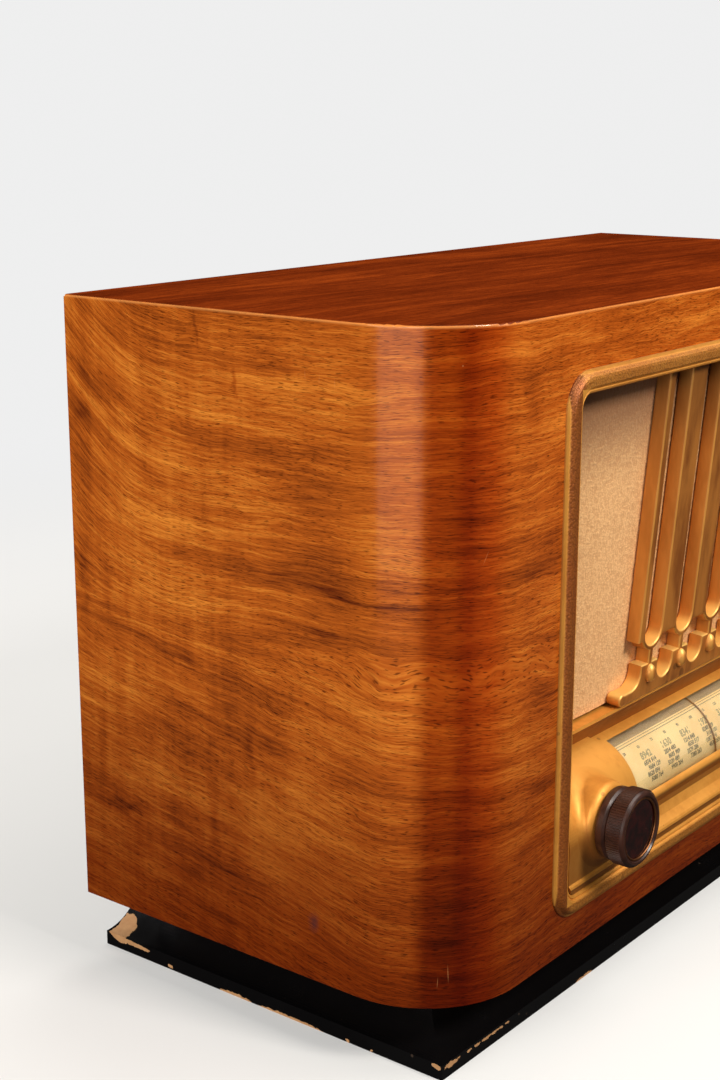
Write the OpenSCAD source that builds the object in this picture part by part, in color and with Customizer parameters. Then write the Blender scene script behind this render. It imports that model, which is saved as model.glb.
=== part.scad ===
// Table radio receiver in a veneered wooden cabinet.
// Y = 0 inside the modules is the flat front of the wood, +Y runs to the back and Z = 0 is the table.
// place() then moves everything so that the origin is under the middle of the whole object.

/* [Cabinet] */
// Width of the wooden cabinet
cab_w = 532; // [500:1:620]
// Depth of the wooden cabinet
cab_d = 245; // [235:1:300]
// Height of the wooden cabinet without its plinth
cab_h = 330; // [325:1:380]
// Outer radius of the two front corners
corner_r = 56; // [30:1:60]
// Thickness of the side walls and the front
wall_t = 12; // [9:0.5:14]
// Thickness of the top board
top_t = 12; // [8:0.5:16]
// Thickness of the bottom board
bottom_t = 12; // [9:0.5:12]
// Rounding of the top board's upper edge
top_edge_r = 1.2; // [0.5:0.1:3]

/* [Plinth] */
// Height of the plinth
plinth_h = 36.5; // [28:0.5:50]
// Distance of the plinth's lip inside the cabinet's outline
plinth_inset = 13; // [6:0.5:20]
// Height of the plinth's upright lip
lip_h = 8; // [5:0.5:14]
// Solid width of the moulding behind its hollow
plinth_back_t = 10; // [6:0.5:16]
// Thickness of the plain rear rail
rear_rail_t = 14; // [8:0.5:20]

/* [Escutcheon] */
// Outer width of the escutcheon frame
frame_w = 355; // [350:1:370]
// Outer height of the escutcheon frame
frame_h = 282; // [280:1:292]
// Height of the frame's lower edge above the cabinet's underside
frame_lift = 19.5; // [16:0.5:24]
// Outer corner radius of the frame
frame_r = 19; // [14:0.5:26]
// Width of the frame's bead
bead_w = 11.6; // [10:0.1:13]
// Height of the bead above the wood
bead_h = 4; // [3:0.1:6]
// Thickness of the wall that runs from the bead back to the cloth
reveal_t = 2.2; // [1.5:0.1:3]

/* [Grille] */
// Lean of the grille, whose foot lies deeper than its top
grille_tilt = 4.84; // [3:0.1:6]
// Depth of the bars' front at the top of the opening
grille_y = 3; // [2:0.5:5]
// Number of long slots
slot_count = 4; // [2:1:6]
// Width of a long slot
slot_w = 18.5; // [14:0.5:20]
// Width of a bar between slots
bar_w = 16.85; // [12:0.05:20]
// Thickness of the bar panel
bar_t = 9; // [5:0.5:10]
// Distance from the console's ledge up to the slots' round bottoms
slot_lift = 30; // [26:0.5:36]
// Width of the two outermost bars
outer_bar_w = 6; // [4:0.5:10]
// Height of the bars' lower ends above the slots' round bottoms
bar_end = 4; // [3:0.5:6]
// Width of the rim round a slot's round bottom
rim_w = 3; // [2:0.5:5]
// Width of a short slot under a bar
short_w = 17; // [12:0.5:20]
// Distance from the console's ledge up to the short slots' round bottoms
short_lift = 7; // [5:0.5:9]
// Height of the shoulders beside the short slots above the console's ledge
shoulder_h = 19.6; // [16:0.2:22]
// Width of the link that joins a rim to the shoulders
link_w = 4; // [3:0.5:10]
// Half width of a drop
drop_r = 3.2; // [2:0.2:4]
// Half height of a drop
drop_half_h = 4.8; // [3:0.2:5]
// Reach of the curled foot beyond the last bar
foot_reach = 15; // [10:0.5:20]
// Radius of the foot's curled tip
tip_r = 3.6; // [3:0.2:5]
// Thickness of the grille cloth on its card
cloth_t = 1; // [0.8:0.1:2]
// Thickness of the baffle board
baffle_t = 8; // [6:0.5:12]
// Width of the battens that carry the baffle board
baffle_batten_w = 18; // [14:1:24]
// Depth of the battens that carry the baffle board
baffle_batten_d = 26; // [22:1:30]

/* [Console and dial] */
// Radius of the console's barrel over the dial
barrel_r = 34.5; // [33:0.1:36]
// Step from the barrel up to the raised end caps
cap_step = 2.2; // [1:0.1:3]
// Height of the barrel's axis above the cabinet's underside
barrel_lift = 57; // [56:0.5:59]
// Half length of the dial window
window_half = 91; // [86:1:96]
// Width of the plain band between the window and a cap
band_w = 10; // [6:0.5:14]
// Wall of the console moulding at the barrel
skin_t = 1.5; // [1.2:0.1:1.8]
// Height of the ledge under the cloth above the cabinet's underside
ledge_lift = 105; // [102:0.5:108]
// Thickness of the clear dial cover
glass_t = 1; // [0.8:0.1:1.2]
// Thickness of the printed scale
scale_t = 1; // [0.8:0.1:1.5]

/* [Controls] */
// Distance of the control shafts from the middle
shaft_x = 132.7; // [128:0.5:138]
// Height of the control shafts above the cabinet's underside
shaft_lift = 64; // [62:0.5:66]
// Radius of a front knob
knob_r = 20.5; // [17:0.5:21]
// Thickness of a front knob
knob_t = 10.4; // [8:0.2:14]
// Number of grooves round a front knob
knob_grooves = 90; // [48:2:110]
// Radius of the ring behind a knob
ring_r = 19.3; // [16:0.1:20]
// Thickness of the ring behind a knob
ring_t = 6.5; // [4:0.5:8]
// Height of the boss that the ring turns on
boss_h = 5; // [3:0.5:7]
// Radius of that boss
boss_r = 20.8; // [18:0.2:23]
// Rounding of the boss's front edge
boss_edge_r = 4; // [2:0.5:5]
// Radius of the inner shaft
shaft_r = 3; // [2.5:0.1:3.5]
// Wall of the hollow outer shaft
sleeve_wall = 1.95; // [1.5:0.05:2.5]
// Radius of the drive spindle on the tuning shaft
spindle_r = 6; // [5:0.1:7]
// Running gap of each shaft in its bore
run_gap = 0.05; // [0.02:0.01:0.08]
// Gap between faces that slide past each other
face_gap = 0.3; // [0.2:0.05:0.5]

/* [Tuning drive] */
// Travel of the dial pointer
pointer_travel = 166; // [150:1:170]
// Place of the pointer at rest, to the right of the middle
pointer_rest = 4; // [-40:1:40]
// Diameter of the dial cord
cord_d = 1; // [0.8:0.1:1.4]
// Radius of the left idler pulley
left_idler_r = 12; // [11:0.5:13]
// Radius of the two right idler pulleys
idler_r = 6.5; // [5:0.5:7]
// Distance of the drum's axis outside the tuning shaft
drum_offset = 29.3; // [27:0.5:32]
// Height of the drum's axis above the cabinet's underside
drum_lift = 125; // [122:0.5:130]
// Depth of the plane that the cord runs in
cord_y = 47; // [46:0.5:48]

/* [Chassis] */
// Width of the chassis
chassis_w = 446; // [440:1:470]
// Depth of the chassis front wall behind the wood's front
chassis_y = 54; // [53:0.5:58]
// Depth of the chassis from front to back
chassis_d = 172; // [165:1:174]
// Height of the chassis deck above the cabinet's underside
deck_lift = 85; // [82:0.5:90]
// Height of the chassis front wall above the deck
apron_h = 20; // [18:0.5:24]
// Thickness of the chassis sheet
sheet_t = 1.5; // [1:0.1:2]

/* [On the deck] */
// Distance of the transformers from the middle
transformer_x = 165; // [150:1:175]
// Width of the mains transformer
mains_w = 78; // [60:1:84]
// Depth of the mains transformer's core
mains_d = 44; // [30:1:50]
// Height of the mains transformer
mains_h = 66; // [50:1:80]
// Distance of the mains transformer's core in front of the chassis rear wall
mains_back = 82; // [70:1:90]
// Width of the output transformer
output_w = 46; // [36:1:56]
// Depth of the output transformer's core
output_d = 26; // [18:1:30]
// Height of the output transformer
output_h = 40; // [30:1:50]
// Distance of the output transformer's core behind the chassis front wall
output_front = 32; // [24:1:40]
// Radius of the large smoothing can
large_can_r = 17; // [14:0.5:20]
// Radius of the small smoothing can
small_can_r = 14; // [11:0.5:17]
// Height of the large smoothing can
large_can_h = 78; // [60:1:90]
// Height of the small smoothing can
small_can_h = 62; // [50:1:80]
// Width of a square intermediate-frequency can
if_can_w = 30; // [24:1:36]
// Height of a square intermediate-frequency can
if_can_h = 70; // [50:1:80]
// Distance of the cans' middles in front of the chassis rear wall
can_back = 68; // [60:1:74]
// Distance of the valves' middles in front of the chassis rear wall
valve_back = 26; // [24:1:32]

/* [Loudspeaker] */
// Radius of the loudspeaker's mounting flange
speaker_r = 82; // [76:1:86]
// Radius of the cone
cone_r = 68; // [60:1:70]
// Depth of the basket
basket_depth = 46; // [40:1:55]
// Radius of the magnet
magnet_r = 33; // [26:1:36]
// Depth of the magnet
magnet_depth = 30; // [20:1:34]
// Drop of the loudspeaker's middle below the middle of the baffle board
speaker_drop = -5; // [-8:0.5:4]

/* [Rear] */
// Thickness of the back cover
cover_t = 3; // [2:0.5:5]
// Distance of the back cover inside the cabinet's rear edge
cover_recess = 6; // [3.5:0.5:9]
// Thickness of the battens behind the back cover
batten_t = 12; // [8:0.5:14]
// Place of the middle of the socket strip
sockets_x = -120; // [-140:1:-100]
// Place of the mains cord's inlet
inlet_x = 130; // [100:1:160]
// Height of the sockets and the inlet above the cabinet's underside
rear_lift = 45; // [40:1:50]
// Distance between neighbouring sockets
socket_pitch = 19; // [16:0.5:22]
// Radius of a socket's bore
socket_r = 2; // [1.8:0.05:2.5]
// Radius of the mains cord inlet's bore
inlet_r = 3.5; // [3:0.1:4.5]

/* [Hidden] */
$fn = 96;

// Colours
walnut = [0.55, 0.24, 0.08];
walnut_top = [0.42, 0.16, 0.06];
black_lacquer = [0.05, 0.05, 0.05];
old_gold = [0.62, 0.40, 0.13];
cream = [0.86, 0.78, 0.60];
bakelite = [0.16, 0.07, 0.05];
bakelite_red = [0.20, 0.04, 0.03];
steel = [0.62, 0.62, 0.60];
aluminium = [0.78, 0.78, 0.78];
brass = [0.80, 0.62, 0.25];
board = [0.45, 0.30, 0.16];

// Heights
base_z = plinth_h;
floor_z = base_z + bottom_t;
cab_top = base_z + cab_h;
frame_z = base_z + frame_lift + frame_h / 2;
shaft_z = base_z + shaft_lift;
ledge_z = base_z + ledge_lift;
deck_z = base_z + deck_lift;
rear_z = base_z + rear_lift;

// Escutcheon opening
seat_gap = 0.3;
open_w = frame_w - 2 * bead_w;
open_h = frame_h - 2 * bead_w;
open_r = frame_r - bead_w;
open_top = frame_z + open_h / 2;
open_low = frame_z - open_h / 2;
aperture_grow = reveal_t + seat_gap;
wall_inset = 0.1;

// Grille, in the leaning frame whose origin is the top of the opening at the bars' front
pitch = slot_w + bar_w;
outer_x = slot_count * pitch / 2;
bars_half = outer_x - bar_w / 2 + outer_bar_w;
tip_x = bars_half + foot_reach - tip_r;
grille_foot = -(open_top - ledge_z) / cos(grille_tilt);
panel_top = -seat_gap - bar_t * sin(grille_tilt);
cloth_edge_gap = 0.4;
cloth_top_gap = 1.2;
slot_bottom = grille_foot + slot_lift;
slot_round_z = slot_bottom + slot_w / 2;
short_round_z = grille_foot + short_lift + short_w / 2;
shoulder_z = grille_foot + shoulder_h;
foot_low = grille_foot + seat_gap;
cloth_foot = grille_foot + 0.8;
speaker_middle = (cloth_foot - cloth_top_gap) / 2 - speaker_drop;

// Console
barrel_y = barrel_r - 0.3;
barrel_z = base_z + barrel_lift;
cap_r = barrel_r + cap_step;
cap_x = window_half + band_w;
console_half = open_w / 2 - seat_gap;
corner_fit_r = open_r - seat_gap;
console_low = open_low + seat_gap;
cove_y = barrel_y - 6.4;
cap_front_y = barrel_y - cap_r;
strip_back_y = 9.5;
glass_r = barrel_r - skin_t - 0.2;
wire_r = glass_r - glass_t - 0.3 - cord_d / 2;
scale_r = wire_r - cord_d / 2 - 0.4;
cheek_x = window_half + 6;
cheek_t = 2.5;

// Controls, from the cap forward
boss_y = cap_front_y - boss_h;
boss_back_y = barrel_y - 20;
ring_back_y = boss_y - face_gap;
ring_front_y = ring_back_y - ring_t;
knob_back_y = ring_front_y - face_gap;
knob_front_y = knob_back_y - knob_t;
sleeve_in_r = shaft_r + run_gap;
sleeve_r = sleeve_in_r + sleeve_wall;
inlay_r = knob_r - 3.9;
inlay_depth = 2.4;
inlay_t = 0.8;
bracket_y = cord_y - 8.6;
bracket_t = 1.5;
bracket_half = 22;
control_t = 14;
control_r = 13;
pot_t = chassis_y - bracket_y - bracket_t - face_gap;

// Cord loop
drum_r = pointer_travel / PI;
drum_x = shaft_x + drum_offset;
drum_z = base_z + drum_lift;
return_z = shaft_z - spindle_r - cord_d / 2;
run_z = return_z + 2 * left_idler_r;
upper_x = drum_x - drum_r - idler_r;
upper_z = run_z + idler_r;
lower_x = drum_x + drum_r - idler_r;
lower_z = return_z + idler_r;
left_x = -window_half - 13;
left_z = return_z + left_idler_r;
pulley_t = 6;
rim_h = 1.6;
pin_r = 2;
rail_y = barrel_y + 6.4;
rail_z = run_z + 6.5;
rail_r = 1.5;
carriage_half = 6;
rail_arm_t = 3;
rail_half = pointer_travel / 2 + carriage_half + 1 + rail_arm_t;

// Cabinet inside
inner_half = cab_w / 2 - wall_t;
cover_y = cab_d - cover_recess - cover_t;
chassis_back = chassis_y + chassis_d;
y_shift = -(cab_d + knob_front_y) / 2;

// Helpers

module place() translate([0, y_shift, 0]) children();

// Extrudes a [y, z] outline along X
module along_x(x0, x1) translate([x0, 0, 0]) rotate([90, 0, 90]) linear_extrude(x1 - x0) children();

// Extrudes an [x, z] outline along Y
module along_y(y0, y1) translate([0, y1, 0]) rotate([90, 0, 0]) linear_extrude(y1 - y0) children();

// Round bar along Y
module rod(x, z, y0, y1, r) translate([x, y0, z]) rotate([-90, 0, 0]) cylinder(h = y1 - y0, r = r);

// Turned shape about an axis along Y, with its local height running forward from y
module turned(x, z, y) translate([x, y, z]) rotate([90, 0, 0]) rotate_extrude() children();

// Leaning frame of the grille
module leaning() translate([0, grille_y, open_top]) rotate([grille_tilt, 0, 0]) children();

// Points of an arc about [cx, cy]
function arc(cx, cy, r, a0, a1, n) =
    [for (i = [0 : n]) [cx + r * cos(a0 + (a1 - a0) * i / n), cy + r * sin(a0 + (a1 - a0) * i / n)]];

// Both sides of the middle plane
module both_sides() {
    children();
    mirror([1, 0, 0]) children();
}

// Outline of the cabinet seen from above, drawn in by "inset"
module plan(inset) {
    r = corner_r - inset;
    translate([-cab_w / 2 + corner_r, inset]) square([cab_w - 2 * corner_r, r]);
    translate([-cab_w / 2 + inset, corner_r]) square([cab_w - 2 * inset, cab_d - corner_r - inset]);
    for (s = [-1, 1]) translate([s * (cab_w / 2 - corner_r), corner_r]) circle(r);
}

// Rounded rectangle about the middle
module rounded(w, h, r) {
    square([w - 2 * r, h], center = true);
    square([w, h - 2 * r], center = true);
    for (x = [-1, 1], y = [-1, 1]) translate([x * (w / 2 - r), y * (h / 2 - r)]) circle(r);
}

// Cabinet

module top_panel() color(walnut_top) place() translate([0, 0, cab_top - top_t]) {
    linear_extrude(top_t - top_edge_r) plan(0);
    linear_extrude(top_t) plan(top_edge_r);
    translate([0, 0, top_t - top_edge_r]) {
        for (y = [top_edge_r, cab_d - top_edge_r])
            translate([-cab_w / 2 + (y < corner_r ? corner_r : top_edge_r), y, 0]) rotate([0, 90, 0])
                cylinder(h = cab_w - 2 * (y < corner_r ? corner_r : top_edge_r), r = top_edge_r);
        for (s = [-1, 1]) {
            translate([s * (cab_w / 2 - top_edge_r), corner_r, 0]) rotate([-90, 0, 0])
                cylinder(h = cab_d - corner_r - top_edge_r, r = top_edge_r);
            translate([s * (cab_w / 2 - top_edge_r), cab_d - top_edge_r, 0]) sphere(top_edge_r);
            translate([s * (cab_w / 2 - corner_r), corner_r, 0]) rotate([0, 0, s > 0 ? -90 : 180])
                rotate_extrude(angle = 90) translate([corner_r - top_edge_r, 0]) circle(top_edge_r);
        }
    }
}

module bottom_panel() color(board) place() translate([0, 0, base_z])
    linear_extrude(bottom_t) difference() {
        plan(wall_t);
        translate([-cab_w, cover_y - batten_t]) square([2 * cab_w, cab_d]);
    }

// One side wall with its front corner
module side_wall() color(walnut) translate([0, 0, base_z]) linear_extrude(cab_h - top_t) intersection() {
    difference() {
        plan(0);
        plan(wall_t);
        translate([-inner_half, corner_r]) square([2 * inner_half, cab_d]);
    }
    translate([-cab_w / 2, 0]) square([corner_r, cab_d]);
}

module left_side() place() side_wall();

module right_side() place() mirror([1, 0, 0]) side_wall();

module front_panel() color(walnut) place() difference() {
    translate([-cab_w / 2 + corner_r, 0, base_z]) cube([cab_w - 2 * corner_r, wall_t, cab_h - top_t]);
    along_y(-1, wall_t + 1) translate([0, frame_z])
        rounded(open_w + 2 * aperture_grow, open_h + 2 * aperture_grow, open_r + aperture_grow);
}

// Plinth

cove_r = plinth_h - lip_h;
mould_w = cove_r + plinth_back_t;
plinth_half = cab_w / 2 - plinth_inset;

// Section of the moulding, measured inward from its lip
module mould_section() polygon(concat([[0, 0], [0, lip_h]], arc(0, plinth_h, cove_r, -88, 0, 24),
    [[mould_w, plinth_h], [mould_w, 0]]));

// Keeps what lies behind the left mitre
module behind_mitre() translate([-plinth_half, plinth_inset, -1]) linear_extrude(plinth_h + 2)
    polygon([[-1, -1], [cab_d, cab_d], [-1, cab_d]]);

module plinth_rail_left() color(black_lacquer) intersection() {
    translate([-plinth_half, cab_d, 0]) rotate([90, 0, 0]) linear_extrude(cab_d - plinth_inset)
        mould_section();
    behind_mitre();
}

module plinth_left() place() plinth_rail_left();

module plinth_right() place() mirror([1, 0, 0]) plinth_rail_left();

module plinth_front() color(black_lacquer) place() difference() {
    along_x(-plinth_half, plinth_half) translate([plinth_inset, 0]) mould_section();
    behind_mitre();
    mirror([1, 0, 0]) behind_mitre();
}

module plinth_rear() color(black_lacquer) place()
    translate([-plinth_half + mould_w, cab_d - rear_rail_t, 0])
        cube([2 * (plinth_half - mould_w), rear_rail_t, plinth_h]);

// Back of the cabinet

screw_r = 1.6;
screw_gap = 0.2;
screw_head_r = 4;
screw_head_t = 2;
screw_spots = [for (s = [-1, 1], k = [0.14, 0.5, 0.86])
    [s * (inner_half - batten_t / 2), floor_z + k * (cab_h - top_t - bottom_t)]];

module back_battens() color(board) place() difference() {
    both_sides() translate([inner_half - batten_t, cover_y - batten_t, base_z])
        cube([batten_t, batten_t, cab_h - top_t]);
    for (p = screw_spots) rod(p[0], p[1], cover_y - batten_t - 1, cover_y + 1, screw_r + screw_gap);
}

vent_rows = 3;
vent_columns = 20;
vent_w = 5;
vent_h = 34;
cutout_w = 4 * socket_pitch + 26;
cutout_h = 30;

// A slot with round ends about the middle
module slot_outline(w, h) {
    square([w, h - w], center = true);
    for (s = [-1, 1]) translate([0, s * (h - w) / 2]) circle(w / 2, $fn = 24);
}

module back_cover() color(board) place() difference() {
    translate([-inner_half + seat_gap, cover_y, floor_z - bottom_t + seat_gap])
        cube([2 * (inner_half - seat_gap), cover_t, cab_h - top_t - 2 * seat_gap]);
    along_y(cover_y - 1, cover_y + cover_t + 1) {
        for (i = [0 : vent_columns - 1], j = [0 : vent_rows - 1])
            translate([(i - (vent_columns - 1) / 2) * 20, deck_z + 40 + j * 62]) slot_outline(vent_w, vent_h);
        translate([sockets_x, rear_z]) rounded(cutout_w, cutout_h, 4);
        translate([inlet_x, rear_z]) rounded(44, cutout_h, 4);
    }
    for (p = screw_spots) rod(p[0], p[1], cover_y - 1, cover_y + cover_t + 1, screw_r + screw_gap);
}

module back_screws() color(brass) place() for (p = screw_spots) {
    rod(p[0], p[1], cover_y - batten_t + 2, cover_y + cover_t, screw_r);
    turned(p[0], p[1], cover_y + cover_t + screw_head_t)
        polygon([[0, 0.3], [screw_head_r * 0.7, 0.6], [screw_head_r, 1.4], [screw_head_r, screw_head_t],
            [0, screw_head_t]]);
}

// Escutcheon

// Section of the bead as [distance inward from the outer edge, height above the wood]
bead_section = [[0, 0], [0, bead_h * 0.2], [bead_w * 0.12, bead_h * 0.38], [bead_w * 0.2, bead_h * 0.68],
    [bead_w * 0.29, bead_h * 0.92], [bead_w * 0.4, bead_h], [bead_w * 0.68, bead_h],
    [bead_w * 0.76, bead_h * 0.85], [bead_w * 0.81, bead_h * 0.62], [bead_w * 0.87, bead_h * 0.72],
    [bead_w * 0.94, bead_h * 0.64], [bead_w, bead_h * 0.35], [bead_w, 0]];

module bead_ring(half_w, half_h, r) for (s = [[0, half_w, half_h], [90, half_h, half_w],
        [180, half_w, half_h], [270, half_h, half_w]]) rotate([0, 0, s[0]]) {
    translate([-(s[1] - r), -s[2], 0]) rotate([90, 0, 90]) linear_extrude(2 * (s[1] - r))
        polygon(bead_section);
    translate([s[1] - r, -(s[2] - r), 0]) rotate([0, 0, -90]) rotate_extrude(angle = 90)
        polygon([for (p = bead_section) [r - p[0], p[1]]]);
}

module escutcheon_frame() color(old_gold) place() {
    translate([0, 0, frame_z]) rotate([90, 0, 0]) bead_ring(frame_w / 2, frame_h / 2, frame_r);
    difference() {
        along_y(-0.5, 40) translate([0, frame_z]) difference() {
            rounded(open_w + 2 * reveal_t, open_h + 2 * reveal_t, open_r + reveal_t);
            rounded(open_w + 2 * wall_inset, open_h + 2 * wall_inset, open_r + wall_inset);
        }
        leaning() translate([-frame_w, bar_t - seat_gap, -2 * frame_h]) cube([2 * frame_w, 60, 3 * frame_h]);
    }
}

// Console

// Upper strip: ledge under the cloth, hollow, and the barrel's skin down to the window
module upper_section() {
    cove_z = barrel_z + sqrt(pow(barrel_r, 2) - pow(barrel_y - cove_y, 2));
    polygon(concat(
        [[cove_y - 7.6, ledge_z - 1.4], [cove_y - 7, ledge_z], [cove_y + 3, ledge_z], [cove_y + 3, barrel_z + barrel_r - skin_t]],
        arc(barrel_y, barrel_z, barrel_r - skin_t, 95, 108, 6),
        arc(barrel_y, barrel_z, barrel_r, 112, 101, 6),
        [[cove_y - 1, cove_z + 3], [cove_y - 3, cove_z + 8]]));
}

// Bottom bead of the console
function foot_bead() = [[-2.4, console_low + 6.5], [-3.2, console_low + 5.4], [-3.5, console_low + 4.2],
    [-3.1, console_low + 3], [-2.2, console_low + 1.8], [-2, console_low], [strip_back_y, console_low]];

// Lower strip: lip under the window, hollow and bottom bead
module lower_section() {
    lip_z = barrel_z + 0.4;
    lip_half = 3.6;
    polygon(concat(
        arc(barrel_y - barrel_r + 1.6, lip_z, lip_half, 110, 255, 16),
        [[2.2, lip_z - 6], [4.2, lip_z - 9], [4.2, lip_z - 12], [1.6, lip_z - 16.5]],
        foot_bead(),
        [[strip_back_y, lip_z - 4.4], [barrel_y - glass_r - 0.3, lip_z - 4.4]]));
}

// End cap: raised barrel that runs down to the bottom bead
module cap_section() polygon(concat(
    [[barrel_y - 2, barrel_z + cap_r - 3.2]],
    [[barrel_y - 2, barrel_z + cap_r]],
    arc(barrel_y, barrel_z, cap_r, 96, 180, 32),
    foot_bead(),
    [[strip_back_y, console_low + 4], [cap_front_y + 3, console_low + 10]],
    arc(barrel_y, barrel_z, cap_r - 3, 180, 96, 32)));

// Sector of a ring about the barrel's axis
module ring_sector(r_out, r_in, a0, a1) polygon(concat(arc(barrel_y, barrel_z, r_out, a0, a1, 32),
    arc(barrel_y, barrel_z, r_in, a1, a0, 32)));

// Hub that grows out of the cap's barrel
module boss() turned(-shaft_x, shaft_z, boss_back_y) {
    long = boss_back_y - boss_y;
    polygon(concat([[sleeve_r + run_gap, 0], [boss_r, 0]],
        arc(boss_r - boss_edge_r, long - boss_edge_r, boss_edge_r, 0, 90, 10), [[sleeve_r + run_gap, long]]));
}

// What is cut off the console's lower corner, so that it fits the frame's round corner
module corner_cut() along_y(-20, 60) difference() {
    translate([-console_half - 1, console_low - 1]) square(corner_fit_r + 1);
    translate([-console_half + corner_fit_r, console_low + corner_fit_r]) circle(corner_fit_r);
}

module console_end() {
    difference() {
        along_x(-console_half, -cap_x) cap_section();
        rod(-shaft_x, shaft_z, cap_front_y - 1, boss_back_y, sleeve_r + 4);
        corner_cut();
    }
    boss();
    along_x(-cap_x - 1, -window_half) {
        ring_sector(barrel_r, barrel_r - skin_t, 100, 176);
        lower_section();
    }
    along_x(-cheek_x - cheek_t, -cheek_x) ring_sector(barrel_r - 0.5, scale_r - scale_t - 1.5, 102, 176);
}

module console_panel() color(old_gold) place() {
    along_x(-console_half, console_half) upper_section();
    along_x(-window_half - 1, window_half + 1) lower_section();
    both_sides() console_end();
}

// Grille

// Long slot open at the top, with a round bottom
module long_slot(x) {
    translate([x - slot_w / 2, slot_round_z]) square([slot_w, -slot_bottom]);
    translate([x, slot_round_z]) circle(slot_w / 2);
}

// Opening under a bar, between the rims of the slots beside it and the shoulders
module under_bar(x) {
    difference() {
        translate([x - (pitch - link_w) / 2, shoulder_z])
            square([pitch - link_w, slot_bottom + bar_end - shoulder_z]);
        for (s = [-1, 1]) translate([x + s * pitch / 2, slot_round_z]) circle(slot_w / 2 + rim_w);
    }
    translate([x - short_w / 2, short_round_z]) square([short_w, shoulder_z - short_round_z + 0.1]);
    translate([x, short_round_z]) circle(short_w / 2);
}

// What is open outside an outermost bar, above the foot
module beside_bars() {
    translate([bars_half, shoulder_z]) square([bar_w, slot_bottom + bar_end - shoulder_z]);
    translate([outer_x, grille_foot + short_lift]) square([bar_w, shoulder_z - grille_foot - short_lift + 0.1]);
}

module grille_outline() difference() {
    union() {
        translate([-bars_half, foot_low]) square([2 * bars_half, panel_top - foot_low]);
        translate([-outer_x, foot_low]) square([2 * outer_x, shoulder_h - seat_gap]);
        translate([-tip_x, foot_low]) square([2 * tip_x, short_lift - seat_gap]);
        for (s = [-1, 1]) translate([s * tip_x, foot_low + tip_r]) circle(tip_r);
    }
    for (i = [0 : slot_count - 1]) long_slot((i - (slot_count - 1) / 2) * pitch);
    for (i = [0 : slot_count]) under_bar((i - slot_count / 2) * pitch);
    for (s = [0, 1]) mirror([s, 0]) beside_bars();
}

// Egg-shaped drop on each shoulder
module drops() for (i = [0 : slot_count - 1])
    translate([(i - (slot_count - 1) / 2) * pitch, 0, shoulder_z - drop_half_h - 0.6]) rotate_extrude()
        polygon([for (k = [0 : 12]) let (a = -90 + 15 * k) [drop_r * cos(a), drop_half_h * sin(a)]]);

module grille_panel() color(old_gold) place() leaning() {
    along_y(0, bar_t) grille_outline();
    drops();
}

module cloth_rect() translate([-open_w / 2 + cloth_edge_gap, cloth_foot])
    square([open_w - 2 * cloth_edge_gap, -cloth_foot - cloth_top_gap]);

module grille_cloth() color(cream) place() leaning() along_y(bar_t, bar_t + cloth_t) cloth_rect();

module baffle_board() color(board) place() leaning() along_y(bar_t + cloth_t, bar_t + cloth_t + baffle_t)
    difference() {
        cloth_rect();
        translate([0, speaker_middle]) circle(cone_r + 4);
    }

module baffle_battens() color(board) place() both_sides() difference() {
    translate([open_w / 2 + aperture_grow - seat_gap, wall_t, floor_z])
        cube([baffle_batten_w, baffle_batten_d, cab_h - top_t - bottom_t]);
    translate([0, wall_t, 0]) cube([open_w / 2 + aperture_grow, 1, ledge_z]);
}

// Loudspeaker, in the leaning frame

speaker_y = bar_t + cloth_t + baffle_t;
coil_r = 12.5;

module at_speaker() leaning() translate([0, speaker_y, speaker_middle]) rotate([-90, 0, 0]) children();

module speaker_basket() color(steel) place() at_speaker() difference() {
    rotate_extrude() polygon([[cone_r + 0.4, 0], [speaker_r, 0], [speaker_r, 2], [cone_r + 6, 2],
        [magnet_r + 2, basket_depth - 2], [magnet_r + 2, basket_depth], [coil_r + 2, basket_depth],
        [coil_r + 2, basket_depth - 2], [magnet_r - 1, basket_depth - 2], [cone_r + 3, 1.5], [cone_r + 0.4, 1]]);
    for (i = [0 : 3]) rotate([0, 0, 45 + 90 * i]) translate([magnet_r + 3, -17, 8])
        cube([cone_r - magnet_r - 6, 34, basket_depth - 14]);
}

module speaker_magnet() color(steel) place() at_speaker() translate([0, 0, basket_depth]) difference() {
    cylinder(h = magnet_depth, r = magnet_r);
    translate([0, 0, -1]) difference() {
        cylinder(h = 13, r = coil_r + 1);
        translate([0, 0, -1]) cylinder(h = 15, r = coil_r - 1.5);
    }
}

// The cone and its coil, clear of the basket over the whole travel
module speaker_cone() color([0.12, 0.11, 0.10]) place() at_speaker() rotate_extrude()
    polygon([[cone_r, 0.4], [cone_r, 1.4], [coil_r + 0.4, basket_depth - 5], [coil_r + 0.4, basket_depth + 8],
        [coil_r - 0.4, basket_depth + 8], [coil_r - 0.4, basket_depth - 6], [cone_r - 1.6, 0.4]]);

// Dial

module dial_glass() color([0.9, 0.9, 0.85, 0.3]) place()
    along_x(-cheek_x + 0.1, cheek_x - 0.1) ring_sector(glass_r, glass_r - glass_t, 102, 184);

module dial_scale() color(cream) place()
    along_x(-cheek_x + 0.1, cheek_x - 0.1) ring_sector(scale_r, scale_r - scale_t, 102, 184);

// Bent wire over the scale, with a straight tail into the carriage
module pointer() color(bakelite) place() translate([pointer_rest, barrel_y, barrel_z]) {
    rotate([90, 0, 90]) rotate([0, 0, 90]) rotate_extrude(angle = 88) translate([wire_r, 0]) circle(d = cord_d, $fn = 16);
    translate([0, 0, wire_r]) rotate([-90, 0, 0]) cylinder(h = rail_y - 3 - barrel_y, d = cord_d, $fn = 16);
}

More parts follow.
